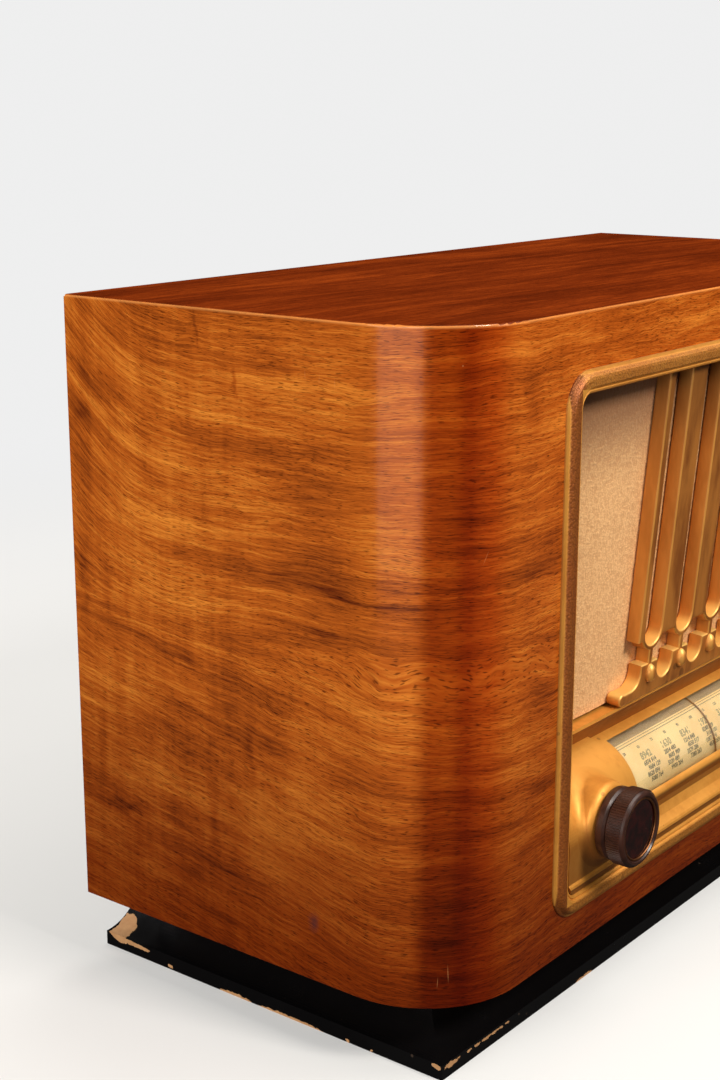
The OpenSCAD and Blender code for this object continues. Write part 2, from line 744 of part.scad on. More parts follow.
module pointer_carriage() color(brass) place() translate([pointer_rest - carriage_half, 0, 0]) {
    w = 2 * carriage_half;
    difference() {
        union() {
            translate([0, rail_y - 3, rail_z - 3]) cube([w, 6, 6]);
            translate([0, rail_y + 2, rail_z - 3]) cube([w, cord_y - rail_y, 3]);
            translate([0, cord_y - 1.5, run_z - 1.5]) cube([w, 3, rail_z - run_z]);
        }
        translate([-1, rail_y, rail_z]) rotate([0, 90, 0]) cylinder(h = w + 2, r = rail_r + run_gap);
        translate([-1, cord_y, run_z]) rotate([0, 90, 0]) cylinder(h = w + 2, d = cord_d + 0.2, $fn = 24);
    }
}

module pointer_rail() color(steel) place() translate([-rail_half, rail_y, rail_z]) rotate([0, 90, 0])
    cylinder(h = 2 * rail_half, r = rail_r);

// Grooved wheel whose cord lies at the pitch radius
module pulley(x, z, r, bore) difference() {
    turned(x, z, cord_y + pulley_t / 2) polygon([[bore, 0], [r + rim_h, 0], [r + rim_h, 1],
        [r - cord_d / 2 - run_gap, pulley_t / 2 - cord_d], [r - cord_d / 2 - run_gap, pulley_t / 2 + cord_d],
        [r + rim_h, pulley_t - 1], [r + rim_h, pulley_t], [bore, pulley_t]]);
    if (r > 3 * idler_r)
        for (i = [0 : 4]) rotate_about(x, z, 72 * i) translate([x - r * 0.22, cord_y - pulley_t, z + r * 0.3])
            cube([r * 0.44, 2 * pulley_t, r * 0.45]);
}

module rotate_about(x, z, a) translate([x, 0, z]) rotate([0, a, 0]) translate([-x, 0, -z]) children();

module tuning_drum() color(aluminium) place() pulley(drum_x, drum_z, drum_r, shaft_r);

module idler_upper() color(brass) place() pulley(upper_x, upper_z, idler_r, pin_r + run_gap);

module idler_left() color(brass) place() pulley(left_x, left_z, left_idler_r, pin_r + run_gap);

module idler_lower() color(brass) place() pulley(lower_x, lower_z, idler_r, pin_r + run_gap);

// Part of a ring of cord about [x, z], from angle a0 to a1 seen from the front
module cord_arc(x, z, r, a0, a1) translate([x, cord_y, z]) rotate([90, 0, 0]) rotate([0, 0, a0])
    rotate_extrude(angle = a1 - a0) translate([r, 0]) circle(d = cord_d, $fn = 16);

module cord_x(x0, x1, z) translate([x0, cord_y, z]) rotate([0, 90, 0])
    cylinder(h = x1 - x0, d = cord_d, $fn = 16);

module cord_z(x, z0, z1) translate([x, cord_y, z0]) cylinder(h = z1 - z0, d = cord_d, $fn = 16);

module dial_cord() color(cream) place() {
    cord_arc(drum_x, drum_z, drum_r, 0, 180);
    cord_z(drum_x - drum_r, upper_z, drum_z);
    cord_arc(upper_x, upper_z, idler_r, -90, 0);
    cord_x(left_x, upper_x, run_z);
    cord_arc(left_x, left_z, left_idler_r, 90, 270);
    cord_x(left_x, lower_x, return_z);
    cord_arc(lower_x, lower_z, idler_r, -90, 0);
    cord_z(drum_x + drum_r, lower_z, drum_z);
}

// Variable capacitor

cap_w = 56;
cap_y0 = chassis_y + 8;
cap_len = 62;
plate_count = 9;
plate_gap = 5;
plate_t = 0.8;
vane_r = 24;

module capacitor_frame() color(aluminium) place() difference() {
    union() {
        for (y = [cap_y0, cap_y0 + cap_len - 3])
            translate([drum_x - cap_w / 2, y, deck_z]) cube([cap_w, 3, drum_z - deck_z + cap_w / 2]);
        for (s = [-1, 1]) translate([drum_x + s * (cap_w / 2 - 2) - 2, cap_y0, deck_z]) cube([4, cap_len, 6]);
        translate([drum_x - cap_w / 2, cap_y0, drum_z + cap_w / 2 - 2]) cube([cap_w, cap_len, 2]);
    }
    rod(drum_x, drum_z, cap_y0 - 1, cap_y0 + cap_len + 1, shaft_r + run_gap);
}

module capacitor_stator() color(aluminium) place() for (i = [0 : plate_count - 1])
    translate([drum_x - cap_w / 2 + 3, cap_y0 + 6 + i * plate_gap, drum_z + 5])
        cube([cap_w - 6, plate_t, cap_w / 2 - 7]);

// Turned from hanging open to where the pointer rests
rotor_turn = 180 * (pointer_travel / 2 + pointer_rest) / pointer_travel;

module capacitor_rotor() color(aluminium) place() {
    rod(drum_x, drum_z, cord_y - pulley_t / 2 - 2, cap_y0 + cap_len + 2, shaft_r);
    rotate_about(drum_x, drum_z, rotor_turn) for (i = [0 : plate_count - 1])
        translate([drum_x, cap_y0 + 6 + plate_gap / 2 + i * plate_gap, drum_z])
            rotate([-90, 0, 0]) intersection() {
                cylinder(h = plate_t, r = vane_r);
                translate([-vane_r, 0, -1]) cube([2 * vane_r, vane_r, plate_t + 2]);
            }
}

// Knobs and rings

// Star outline whose points are the ribs round a knob
function ribbed(r, n, depth) = [for (i = [0 : 4 * n - 1])
    let (a = 90 * i / n, q = (i % 4 < 2) ? r : r - depth) [q * cos(a), q * sin(a)]];

module knob(x) {
    recess_r = inlay_r + 0.2;
    difference() {
        union() {
            along_y(knob_front_y + 1.8, knob_back_y - 0.8) translate([x, shaft_z]) polygon(ribbed(knob_r, knob_grooves, 0.45));
            turned(x, shaft_z, knob_back_y) polygon([[0, 0], [knob_r - 1.4, 0], [knob_r - 0.5, 0.9],
                [knob_r - 0.5, knob_t - 1.8], [knob_r - 1.2, knob_t - 0.6], [knob_r - 2, knob_t],
                [recess_r + 0.6, knob_t], [recess_r, knob_t - 0.8], [recess_r, 1], [0, 1]]);
            rod(x, shaft_z, knob_front_y + inlay_depth, knob_back_y - 0.5, recess_r + 0.1);
        }
        rod(x, shaft_z, knob_back_y - 4, knob_back_y + 1, shaft_r);
        rod(x, shaft_z, knob_front_y, knob_front_y + inlay_depth, recess_r);
    }
}

module inlay(x) rod(x, shaft_z, knob_front_y + inlay_depth - inlay_t, knob_front_y + inlay_depth, inlay_r);

module ring(x) turned(x, shaft_z, ring_back_y) polygon([[sleeve_r, 0], [ring_r - 1.6, 0], [ring_r - 0.4, 0.6],
    [ring_r, 1.8], [ring_r, ring_t - 2.2], [ring_r - 1, ring_t - 0.8], [ring_r - 2.4, ring_t], [sleeve_r, ring_t]]);

module sleeve(x) difference() {
    rod(x, shaft_z, ring_front_y, bracket_y - 2, sleeve_r);
    rod(x, shaft_z, ring_front_y - 1, bracket_y, sleeve_in_r);
}

module control(x) difference() {
    rod(x, shaft_z, bracket_y - control_t, bracket_y, control_r);
    rod(x, shaft_z, bracket_y - control_t - 1, bracket_y + 1, sleeve_r + run_gap);
}

module tuning_knob() color(bakelite) place() knob(shaft_x);

module volume_knob() color(bakelite) place() knob(-shaft_x);

module tuning_inlay() color(bakelite_red) place() inlay(shaft_x);

module volume_inlay() color(bakelite_red) place() inlay(-shaft_x);

module band_ring() color(bakelite) place() ring(shaft_x);

module tone_ring() color(bakelite) place() ring(-shaft_x);

module band_sleeve() color(brass) place() sleeve(shaft_x);

module tone_sleeve() color(brass) place() sleeve(-shaft_x);

module tuning_shaft() color(steel) place() {
    rod(shaft_x, shaft_z, knob_back_y - 4, chassis_y + 8, shaft_r);
    rod(shaft_x, shaft_z, cord_y - pulley_t / 2, cord_y + pulley_t / 2, spindle_r - run_gap);
}

module volume_shaft() color(steel) place()
    rod(-shaft_x, shaft_z, knob_back_y - 4, bracket_y + bracket_t + pot_t - 2, shaft_r);

module band_switch() color(board) place() control(shaft_x);

module tone_pot() color(steel) place() control(-shaft_x);

module volume_pot() color(steel) place() difference() {
    rod(-shaft_x, shaft_z, bracket_y + bracket_t, bracket_y + bracket_t + pot_t, control_r);
    rod(-shaft_x, shaft_z, bracket_y, chassis_y, shaft_r + run_gap);
}

module control_brackets() color(steel) place() both_sides() difference() {
    union() {
        translate([shaft_x - bracket_half, bracket_y, floor_z])
            cube([2 * bracket_half, bracket_t, shaft_z - floor_z + control_r]);
        translate([shaft_x - bracket_half, bracket_y - 16, floor_z]) cube([2 * bracket_half, 16 + bracket_t, bracket_t]);
    }
    rod(shaft_x, shaft_z, bracket_y - 1, bracket_y + bracket_t + 1, sleeve_r + 0.5);
}

// Chassis

module chassis() color(steel) place() difference() {
    union() {
        translate([-chassis_w / 2, chassis_y, floor_z]) cube([chassis_w, sheet_t, deck_z + apron_h - floor_z]);
        translate([-chassis_w / 2, chassis_back - sheet_t, floor_z]) cube([chassis_w, sheet_t, deck_z - floor_z]);
        translate([-chassis_w / 2, chassis_y, deck_z - sheet_t]) cube([chassis_w, chassis_d, sheet_t]);
        for (s = [-1, 1]) translate([s * (chassis_w - sheet_t) / 2 - sheet_t / 2, chassis_y, floor_z])
            cube([sheet_t, chassis_d, deck_z - floor_z]);
        for (p = [[upper_x, upper_z], [left_x, left_z], [lower_x, lower_z]]) {
            rod(p[0], p[1], cord_y - pulley_t / 2 - 1, chassis_y, pin_r);
            rod(p[0], p[1], cord_y + pulley_t / 2 + face_gap, chassis_y, pin_r + 2);
        }
        for (s = [-1, 1]) translate([s * (rail_half - rail_arm_t / 2) - rail_arm_t / 2, rail_y - 3, rail_z - 3])
            cube([rail_arm_t, chassis_y - rail_y + 3, 6]);
        rod(shaft_x, shaft_z, chassis_y, chassis_y + 8, shaft_r + 4);
    }
    translate([-rail_half - 1, rail_y, rail_z]) rotate([0, 90, 0]) cylinder(h = 2 * rail_half + 2, r = rail_r);
    rod(shaft_x, shaft_z, chassis_y - 1, chassis_y + 9, shaft_r + run_gap);
    along_y(chassis_back - 5, chassis_back + 1) translate([sockets_x, rear_z]) square([4 * socket_pitch, 12], center = true);
    rod(inlet_x, rear_z, chassis_back - 5, chassis_back + 1, inlet_r + 2.5);
}

// What stands on the deck

module laminations(x, y, w, d, h) {
    translate([x - w / 2, y, deck_z]) cube([w, d, h]);
    translate([x - w * 0.32, y - d * 0.28, deck_z + h * 0.2]) cube([w * 0.64, d * 1.56, h * 0.6]);
}

module mains_transformer() color(steel) place()
    laminations(-transformer_x, chassis_back - mains_back, mains_w, mains_d, mains_h);

module output_transformer() color(steel) place()
    laminations(-transformer_x, chassis_y + output_front, output_w, output_d, output_h);

large_can_x = -98;
small_can_x = -56;
if_can_xs = [56, 122];

module can(x, y, r, h) translate([x, y, deck_z]) {
    cylinder(h = h - 2, r = r);
    cylinder(h = h, r = r - 2);
}

module smoothing_cans() color(aluminium) place() {
    can(large_can_x, chassis_back - can_back, large_can_r, large_can_h);
    can(small_can_x, chassis_back - can_back, small_can_r, small_can_h);
}

module if_cans() color(aluminium) place() for (x = if_can_xs)
    translate([x, chassis_back - can_back, deck_z]) linear_extrude(if_can_h) rounded(if_can_w, if_can_w, 5);

valve_spots = [[-84, 72, 16], [-34, 78, 17], [12, 66, 14], [88, 66, 14], [150, 66, 14]];
valve_y = chassis_back - valve_back;
valve_base_h = 14;

module valve_bases() color(bakelite) place() for (v = valve_spots) translate([v[0], valve_y, deck_z])
    cylinder(h = valve_base_h, r = v[2] - 1);

module valve_bulbs() color([0.8, 0.85, 0.88, 0.4]) place() for (v = valve_spots)
    translate([v[0], valve_y, deck_z + valve_base_h]) {
        top = v[1] - valve_base_h;
        rotate_extrude() polygon(concat([[0, 0], [v[2] - 2.5, 0], [v[2], 6]], arc(0, top - v[2], v[2], 0, 80, 10),
            [[2, top + 3], [0, top + 4]]));
    }

// Dial lamps

lamp_x = 48;
lamp_z = (run_z + return_z) / 2;

module lamp_holders() color(brass) place() both_sides() rod(lamp_x, lamp_z, chassis_y - 9, chassis_y, 5);

module dial_lamps() color([0.95, 0.9, 0.75, 0.5]) place() both_sides() turned(lamp_x, lamp_z, chassis_y - 9)
    polygon(concat([[0, 0], [3, 0], [3, 2]], arc(0, 6, 4.6, -30, 90, 10)));

// Rear connections

strip_t = 3;
bush_r = 3.2;
bush_len = 15;

socket_xs = [for (i = [0 : 3]) sockets_x + (i - 1.5) * socket_pitch];

module socket_strip() color(bakelite) place() difference() {
    along_y(chassis_back, chassis_back + strip_t) translate([sockets_x, rear_z])
        rounded(4 * socket_pitch + 14, 22, 3);
    for (x = socket_xs) rod(x, rear_z, chassis_back - 1, chassis_back + strip_t + 1, bush_r);
}

module rear_sockets() color(brass) place() for (x = socket_xs) difference() {
    union() {
        rod(x, rear_z, chassis_back + strip_t + 1.5 - bush_len, chassis_back + strip_t + 1, bush_r);
        rod(x, rear_z, chassis_back + strip_t, chassis_back + strip_t + 1.5, bush_r + 1.6);
    }
    rod(x, rear_z, chassis_back - bush_len, chassis_back + strip_t + 3, socket_r);
}

module cord_grommet() color([0.1, 0.1, 0.1]) place() difference() {
    union() {
        rod(inlet_x, rear_z, chassis_back - sheet_t - 2, chassis_back - sheet_t, inlet_r + 4.5);
        rod(inlet_x, rear_z, chassis_back - sheet_t - 1, chassis_back + 1, inlet_r + 2.4);
        rod(inlet_x, rear_z, chassis_back, chassis_back + 2, inlet_r + 4.5);
    }
    rod(inlet_x, rear_z, chassis_back - 8, chassis_back + 4, inlet_r);
}

top_panel();
bottom_panel();
left_side();
right_side();
front_panel();
plinth_front();
plinth_left();
plinth_right();
plinth_rear();
back_battens();
back_cover();
back_screws();
escutcheon_frame();
console_panel();
grille_panel();
grille_cloth();
baffle_board();
baffle_battens();
speaker_basket();
speaker_magnet();
speaker_cone();
dial_glass();
dial_scale();
pointer();
pointer_carriage();
pointer_rail();
dial_cord();
tuning_drum();
idler_upper();
idler_left();
idler_lower();
capacitor_frame();
capacitor_stator();
capacitor_rotor();
tuning_knob();
tuning_inlay();
tuning_shaft();
band_ring();
band_sleeve();
band_switch();
volume_knob();
volume_inlay();
volume_shaft();
tone_ring();
tone_sleeve();
volume_pot();
tone_pot();
control_brackets();
chassis();
mains_transformer();
output_transformer();
smoothing_cans();
if_cans();
valve_bulbs();
valve_bases();
dial_lamps();
lamp_holders();
socket_strip();
rear_sockets();
cord_grommet();
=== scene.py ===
"""Looks of a veneered table radio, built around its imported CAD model."""
import math
import random

import bmesh
import bpy
import numpy as np
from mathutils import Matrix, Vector


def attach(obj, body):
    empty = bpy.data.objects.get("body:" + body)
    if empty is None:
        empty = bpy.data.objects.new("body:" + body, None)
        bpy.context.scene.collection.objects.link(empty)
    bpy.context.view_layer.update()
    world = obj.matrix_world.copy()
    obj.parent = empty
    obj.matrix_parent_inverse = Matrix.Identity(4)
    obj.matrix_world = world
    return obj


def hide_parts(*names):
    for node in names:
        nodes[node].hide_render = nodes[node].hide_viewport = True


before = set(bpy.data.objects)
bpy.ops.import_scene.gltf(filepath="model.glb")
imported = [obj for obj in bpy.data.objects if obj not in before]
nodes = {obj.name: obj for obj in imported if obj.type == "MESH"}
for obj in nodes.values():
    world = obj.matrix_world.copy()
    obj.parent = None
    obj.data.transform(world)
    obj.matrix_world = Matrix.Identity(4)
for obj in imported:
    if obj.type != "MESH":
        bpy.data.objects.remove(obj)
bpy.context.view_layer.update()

# Places in the cabinet, in metres
SIDE_X = 0.266
CORNER_R = 0.056
FRONT_Y = -0.110
CAB_TOP = 0.3665
CORNER_X = SIDE_X - CORNER_R
CORNER_Y = FRONT_Y + CORNER_R
PLINTH_X = 0.253
PLINTH_Y = -0.097

# Escutcheon frame's outer edge
FRAME_HALF_W = 0.1775
FRAME_HALF_H = 0.141
FRAME_MID_Z = 0.197

# Dial barrel
DIAL_Y = -0.0758
DIAL_Z = 0.0935
SCALE_R = 0.0301

# Leaning grille
TILT = math.radians(4.84)
GRILLE_Y = FRONT_Y + 0.003
GRILLE_TOP = 0.3264


def put_in_scene(name, data):
    made = bpy.data.objects.new(name, data)
    bpy.context.scene.collection.objects.link(made)
    return made


# Camera at the place that the photograph was taken from

def make_camera():
    data = bpy.data.cameras.new("photo_camera")
    data.lens = 58.39
    data.sensor_width = 36.0
    data.clip_start = 0.01
    camera = put_in_scene("photo_camera", data)
    forward = Vector((0.76272, 0.59876, -0.24444))
    camera.location = (-0.87577, -0.53527, 0.46270)
    camera.rotation_euler = forward.to_track_quat("-Z", "Y").to_euler()
    bpy.context.scene.camera = camera


make_camera()


# Shader graph helpers

class Graph:
    """Adds nodes to a material or a group and links them."""

    def __init__(self, tree):
        self.tree = tree

    def add(self, kind, **settings):
        made = self.tree.nodes.new(kind)
        for key, value in settings.items():
            setattr(made, key, value)
        return made

    def put(self, socket, value):
        if isinstance(value, bpy.types.NodeSocket):
            self.tree.links.new(value, socket)
        elif value is not None:
            socket.default_value = value

    def made(self, kind, values, output=0, **settings):
        """Adds a node, fills its inputs in order or by name with values or links, and returns an output."""
        node = self.add(kind, **settings)
        for key, value in values.items() if isinstance(values, dict) else enumerate(values):
            self.put(node.inputs[key], value)
        return node.outputs[output]

    def math(self, operation, a, b=None, c=None):
        return self.made("ShaderNodeMath", (a, b, c), operation=operation)

    def times(self, a, b):
        return self.math("MULTIPLY", a, b)

    def plus(self, a, b):
        return self.math("ADD", a, b)

    def minus(self, a, b):
        return self.math("SUBTRACT", a, b)

    def times_plus(self, a, b, c):
        return self.math("MULTIPLY_ADD", a, b, c)

    def larger(self, a, b):
        return self.math("MAXIMUM", a, b)

    def smaller(self, a, b):
        return self.math("MINIMUM", a, b)

    def root_of_squares(self, a, b):
        return self.math("SQRT", self.plus(self.times(a, a), self.times(b, b)))

    def vector(self, x, y, z):
        return self.made("ShaderNodeCombineXYZ", (x, y, z))

    def split(self, vector):
        node = self.add("ShaderNodeSeparateXYZ")
        self.put(node.inputs[0], vector)
        return node.outputs

    def scaled(self, vector, x, y, z):
        return self.made("ShaderNodeVectorMath", (vector, (x, y, z)), operation="MULTIPLY")

    def noise(self, vector, scale, detail=2.0, rough=0.5, distortion=0.0):
        values = {"Vector": vector, "Scale": scale, "Detail": detail, "Roughness": rough,
                  "Distortion": distortion}
        return self.made("ShaderNodeTexNoise", values, "Fac")

    def voronoi(self, vector, scale, feature="F1"):
        values = {"Vector": vector, "Scale": scale}
        return self.made("ShaderNodeTexVoronoi", values, "Distance", feature=feature)

    def span(self, value, low, high, to_low=0.0, to_high=1.0):
        return self.made("ShaderNodeMapRange", (value, low, high, to_low, to_high))

    def smooth(self, value, low, high):
        return self.made("ShaderNodeMapRange", (value, low, high), interpolation_type="SMOOTHSTEP")

    def mix(self, factor, a, b, blend="MIX"):
        values = {"Factor": factor, "A": a, "B": b}
        return self.made("ShaderNodeMix", values, "Result", data_type="RGBA", blend_type=blend)

    def tint(self, color, mask, weight, other, blend="MIX"):
        """Lays another colour over the first one where the mask is, as strongly as the weight says."""
        return self.mix(self.times(mask, weight), color, other, blend)

    def bump(self, height, strength, distance, normal=None):
        values = {"Height": height, "Strength": strength, "Distance": distance, "Normal": normal}
        return self.made("ShaderNodeBump", values)

    def place(self):
        return self.add("ShaderNodeTexCoord").outputs["Object"]

    def facing(self):
        """The surface's normal as its parts to the right, to the rear and up."""
        return self.split(self.add("ShaderNodeNewGeometry").outputs["Normal"])

    def blend(self, factor, a, b):
        """Mixes two shaders."""
        return self.made("ShaderNodeMixShader", (factor, a, b))

    def sky(self, color, strength):
        return self.made("ShaderNodeBackground", (color, strength))

    def group(self, name, **inputs):
        made = self.add("ShaderNodeGroup", node_tree=GROUPS[name])
        for key, value in inputs.items():
            self.put(made.inputs[key.replace("_", " ")], value)
        return made.outputs


def rgb(red, green, blue):
    """A colour given as 0 to 255 screen values, turned into linear ones."""
    def linear(value):
        value = value / 255.0
        return value / 12.92 if value <= 0.04045 else ((value + 0.055) / 1.055) ** 2.4
    return (linear(red), linear(green), linear(blue), 1.0)


GROUPS = {}


def new_group(name, inputs, outputs):
    """Starts a group with named sockets and returns its graph, inputs and output node."""
    tree = bpy.data.node_groups.new(name, "ShaderNodeTree")
    kinds = {"value": "NodeSocketFloat", "color": "NodeSocketColor", "vector": "NodeSocketVector"}
    for label, kind, start in inputs:
        socket = tree.interface.new_socket(label, in_out="INPUT", socket_type=kinds[kind])
        if start is not None:
            socket.default_value = start
    for label, kind in outputs:
        tree.interface.new_socket(label, in_out="OUTPUT", socket_type=kinds[kind])
    graph = Graph(tree)
    given = graph.add("NodeGroupInput").outputs
    result = graph.add("NodeGroupOutput").inputs
    GROUPS[name] = tree
    return graph, given, result


# Shared effects

# Bends of the grain, and layers of the figure from broad bands to fine fibres as stretch and weight
SWAY = 0.032
WOBBLE = 0.0042
WOOD_LAYERS = (((4.5, 30.0, 1.0), 0.70), ((9.0, 120.0, 1.0), 0.50), ((30.0, 620.0, 1.0), 0.60),
               ((70.0, 1700.0, 1.0), 0.50), ((10.0, 11.0, 1.0), 0.40))
PORE_FILL = (0.10, 0.045, 0.03, 1)


def make_wood_group():
    """Lacquered veneer: along the grain is X, across it is Y and Z picks another leaf."""
    g, given, result = new_group(
        "wood_figure",
        [("Grain", "vector", None), ("Light", "color", (1, 1, 1, 1)), ("Mid", "color", (1, 1, 1, 1)),
         ("Dark", "color", (1, 1, 1, 1)), ("Pore Depth", "value", 0.7), ("Figure", "value", 1.0),
         ("Shift", "value", 0.0)],
        [("Color", "color"), ("Height", "value")])
    along, across, leaf = g.split(given["Grain"])
    sway = g.noise(g.vector(g.times(along, 3.5), g.times(across, 7.0), leaf), 1.0, 3.0)
    wobble = g.noise(g.vector(g.times(along, 42.0), g.times(across, 60.0), leaf), 1.0, 2.0)
    bent = g.plus(across, g.times(g.minus(sway, 0.5), SWAY))
    bent = g.plus(bent, g.times(g.minus(wobble, 0.5), WOBBLE))
    grain = g.vector(along, bent, leaf)
    tone = g.plus(given["Shift"], 0.5)
    for stretch, weight in WOOD_LAYERS:
        layer = g.noise(g.scaled(grain, *stretch), 1.0, 3.0, 0.55)
        tone = g.plus(tone, g.times(g.minus(layer, 0.5), g.times(given["Figure"], weight)))
    color = g.mix(g.span(tone, 0.06, 0.5), given["Dark"], given["Mid"])
    color = g.mix(g.span(tone, 0.5, 0.94), color, given["Light"])
    streaks = g.smooth(g.noise(g.scaled(grain, 75.0, 1500.0, 1.0), 1.0, 2.0, 0.5), 0.55, 0.78)
    dashes = g.noise(g.scaled(grain, 200.0, 2600.0, 1.0), 1.0, 1.0, 0.5)
    crowd = g.noise(g.scaled(grain, 16.0, 34.0, 3.0), 1.0, 2.0)
    pores = g.smooth(g.times_plus(crowd, 0.16, dashes), 0.64, 0.76)
    pores = g.larger(pores, g.times(streaks, 0.5))
    filled = g.mix(0.90, color, PORE_FILL, "MULTIPLY")
    g.put(result["Color"], g.tint(color, pores, given["Pore Depth"], filled))
    g.put(result["Height"], g.minus(g.times(tone, 0.25), pores))


def make_handling_group():
    """Uneven gloss from handling and dust."""
    g, given, result = new_group(
        "handling", [("Vector", "vector", None), ("Scale", "value", 20.0), ("Low", "value", 0.2),
                     ("High", "value", 0.4)], [("Roughness", "value"), ("Mask", "value")])
    cloud = g.noise(given["Vector"], given["Scale"], 5.0, 0.65)
    fine = g.noise(given["Vector"], g.times(given["Scale"], 9.0), 3.0, 0.6)
    both = g.plus(g.times(cloud, 0.75), g.times(fine, 0.25))
    g.put(result["Roughness"], g.span(both, 0.3, 0.7, given["Low"], given["High"]))
    g.put(result["Mask"], g.smooth(both, 0.42, 0.62))


def make_speck_group():
    """Small scattered spots of dirt or damage."""
    g, given, result = new_group(
        "specks", [("Vector", "vector", None), ("Scale", "value", 60.0), ("Amount", "value", 0.2)],
        [("Mask", "value")])
    cell = g.voronoi(given["Vector"], given["Scale"])
    where = g.noise(given["Vector"], g.times(given["Scale"], 0.35), 2.0)
    size = g.times(g.smooth(where, 0.5, 0.72), given["Amount"])
    g.put(result["Mask"], g.math("LESS_THAN", cell, size))


def make_pebble_group():
    """Fine pebbled skin, as on stippled mouldings."""
    g, given, result = new_group(
        "pebbles", [("Vector", "vector", None), ("Scale", "value", 800.0)], [("Height", "value")])
    cell = g.voronoi(given["Vector"], given["Scale"], "SMOOTH_F1")
    g.put(result["Height"], g.smooth(cell, 0.70, 0.20))


def make_rolled_group():
    """Fine lines of rolled or drawn metal."""
    g, given, result = new_group(
        "rolled", [("Vector", "vector", None), ("Stretch", "vector", (20.0, 900.0, 900.0))],
        [("Value", "value")])
    pulled = g.made("ShaderNodeVectorMath", (given["Vector"], given["Stretch"]), operation="MULTIPLY")
    g.put(result["Value"], g.noise(pulled, 1.0, 3.0, 0.6))


for make in (make_wood_group, make_handling_group, make_speck_group, make_pebble_group, make_rolled_group):
    make()


# Materials

def new_material(name, **fixed):
    """A material, the graph that feeds it and its Principled shader's sockets, some with fixed values."""
    material = bpy.data.materials.new(name)
    material.use_nodes = True
    tree = material.node_tree
    tree.nodes.clear()
    g = Graph(tree)
    shader = g.add("ShaderNodeBsdfPrincipled")
    tree.links.new(shader.outputs[0], g.add("ShaderNodeOutputMaterial").inputs["Surface"])
    for socket, value in fixed.items():
        shader.inputs[socket.replace("_", " ")].default_value = value
    return material, g, shader.inputs


def handled(g, shader, scale, low, high):
    """Gives a surface its uneven gloss and returns the mask of the duller patches."""
    hands = g.group("handling", Vector=g.place(), Scale=scale, Low=low, High=high)
    g.put(shader["Roughness"], hands["Roughness"])
    return hands["Mask"]


def wrapped_place(g):
    """Place on the cabinet as the way along it, unrolled round its corners, and the height."""
    x, y, z = g.split(g.place())
    low_y = g.larger(g.minus(CORNER_Y, y), 0.0)
    over_left = g.larger(g.minus(-CORNER_X, x), 0.0)
    over_right = g.larger(g.minus(x, CORNER_X), 0.0)
    turn_left = g.math("ARCTAN2", over_left, low_y)
    turn_right = g.math("ARCTAN2", over_right, low_y)
    flat = g.larger(g.smaller(x, CORNER_X), -CORNER_X)
    bend = g.times(g.minus(turn_right, turn_left), CORNER_R)
    back = g.times(g.larger(g.minus(y, CORNER_Y), 0.0), g.math("SIGN", x))
    return g.plus(g.plus(flat, bend), back), z


def blob(g, along, up, at, half, turn=0.0):
    """A soft oval of the veneer, 1 in its middle; turn is its slant in degrees, rising to the right."""
    du = g.minus(along, at[0])
    dv = g.minus(up, at[1])
    c, s = math.cos(math.radians(turn)), math.sin(math.radians(turn))
    far = g.times(g.times_plus(du, c, g.times(dv, s)), 1.0 / half[0])
    wide = g.times(g.times_plus(dv, c, g.times(du, -s)), 1.0 / half[1])
    return g.smooth(g.root_of_squares(far, wide), 1.0, 0.0)


# Figure of the side's veneer as middle, half sizes, slant and strength; a strength under 0 is darker
SIDE_FIGURE = (
    ((-0.47, 0.323), (0.034, 0.0075), -42, -0.34), ((-0.44, 0.301), (0.034, 0.006), -16, -0.22),
    ((-0.48, 0.305), (0.014, 0.012), -60, -0.2), ((-0.396, 0.356), (0.0022, 0.013), 4, -0.2),
    ((-0.371, 0.332), (0.0024, 0.011), 2, -0.24), ((-0.4, 0.3), (0.012, 0.03), 8, -0.07),
    ((-0.322, 0.27), (0.046, 0.05), 0, -0.17), ((-0.318, 0.214), (0.044, 0.01), -3, -0.16),
    ((-0.392, 0.108), (0.0075, 0.06), 1, -0.2), ((-0.3645, 0.15), (0.0055, 0.036), 1, -0.17),
    ((-0.479, 0.215), (0.006, 0.04), 0, -0.14), ((-0.462, 0.212), (0.0045, 0.034), 3, -0.1),
    ((-0.448, 0.214), (0.004, 0.026), 0, -0.09), ((-0.47, 0.13), (0.0055, 0.026), 0, -0.12),
    ((-0.449, 0.126), (0.005, 0.024), 2, -0.1), ((-0.458, 0.096), (0.03, 0.006), 6, -0.24),
    ((-0.45, 0.07), (0.034, 0.006), -4, -0.2), ((-0.418, 0.102), (0.006, 0.03), 0, -0.1),
    ((-0.392, 0.052), (0.02, 0.01), 0, -0.18), ((-0.3, 0.076), (0.018, 0.008), -12, -0.16),
    ((-0.255, 0.07), (0.016, 0.018), 0, -0.2), ((-0.3243, 0.068), (0.004, 0.0062), 0, -0.3),
    ((-0.42, 0.25), (0.04, 0.05), -8, 0.13), ((-0.385, 0.225), (0.024, 0.06), 0, 0.12),
    ((-0.44, 0.165), (0.04, 0.016), -6, 0.13), ((-0.325, 0.15), (0.036, 0.042), -10, 0.15),
    ((-0.35, 0.1), (0.026, 0.03), -10, 0.1), ((-0.425, 0.34), (0.04, 0.014), -14, 0.08),
    ((-0.206, 0.33), (0.01, 0.024), 14, -0.14), ((-0.15, 0.35), (0.06, 0.01), 3, 0.1))

SIDE_WOOD = {"Light": rgb(226, 138, 50), "Mid": rgb(178, 88, 24), "Dark": rgb(92, 34, 9),
             "Pore_Depth": 0.78, "Figure": 1.35}
TOP_WOOD = {"Light": rgb(136, 56, 14), "Mid": rgb(100, 35, 7), "Dark": rgb(64, 18, 3),
            "Pore_Depth": 0.55, "Figure": 1.6}

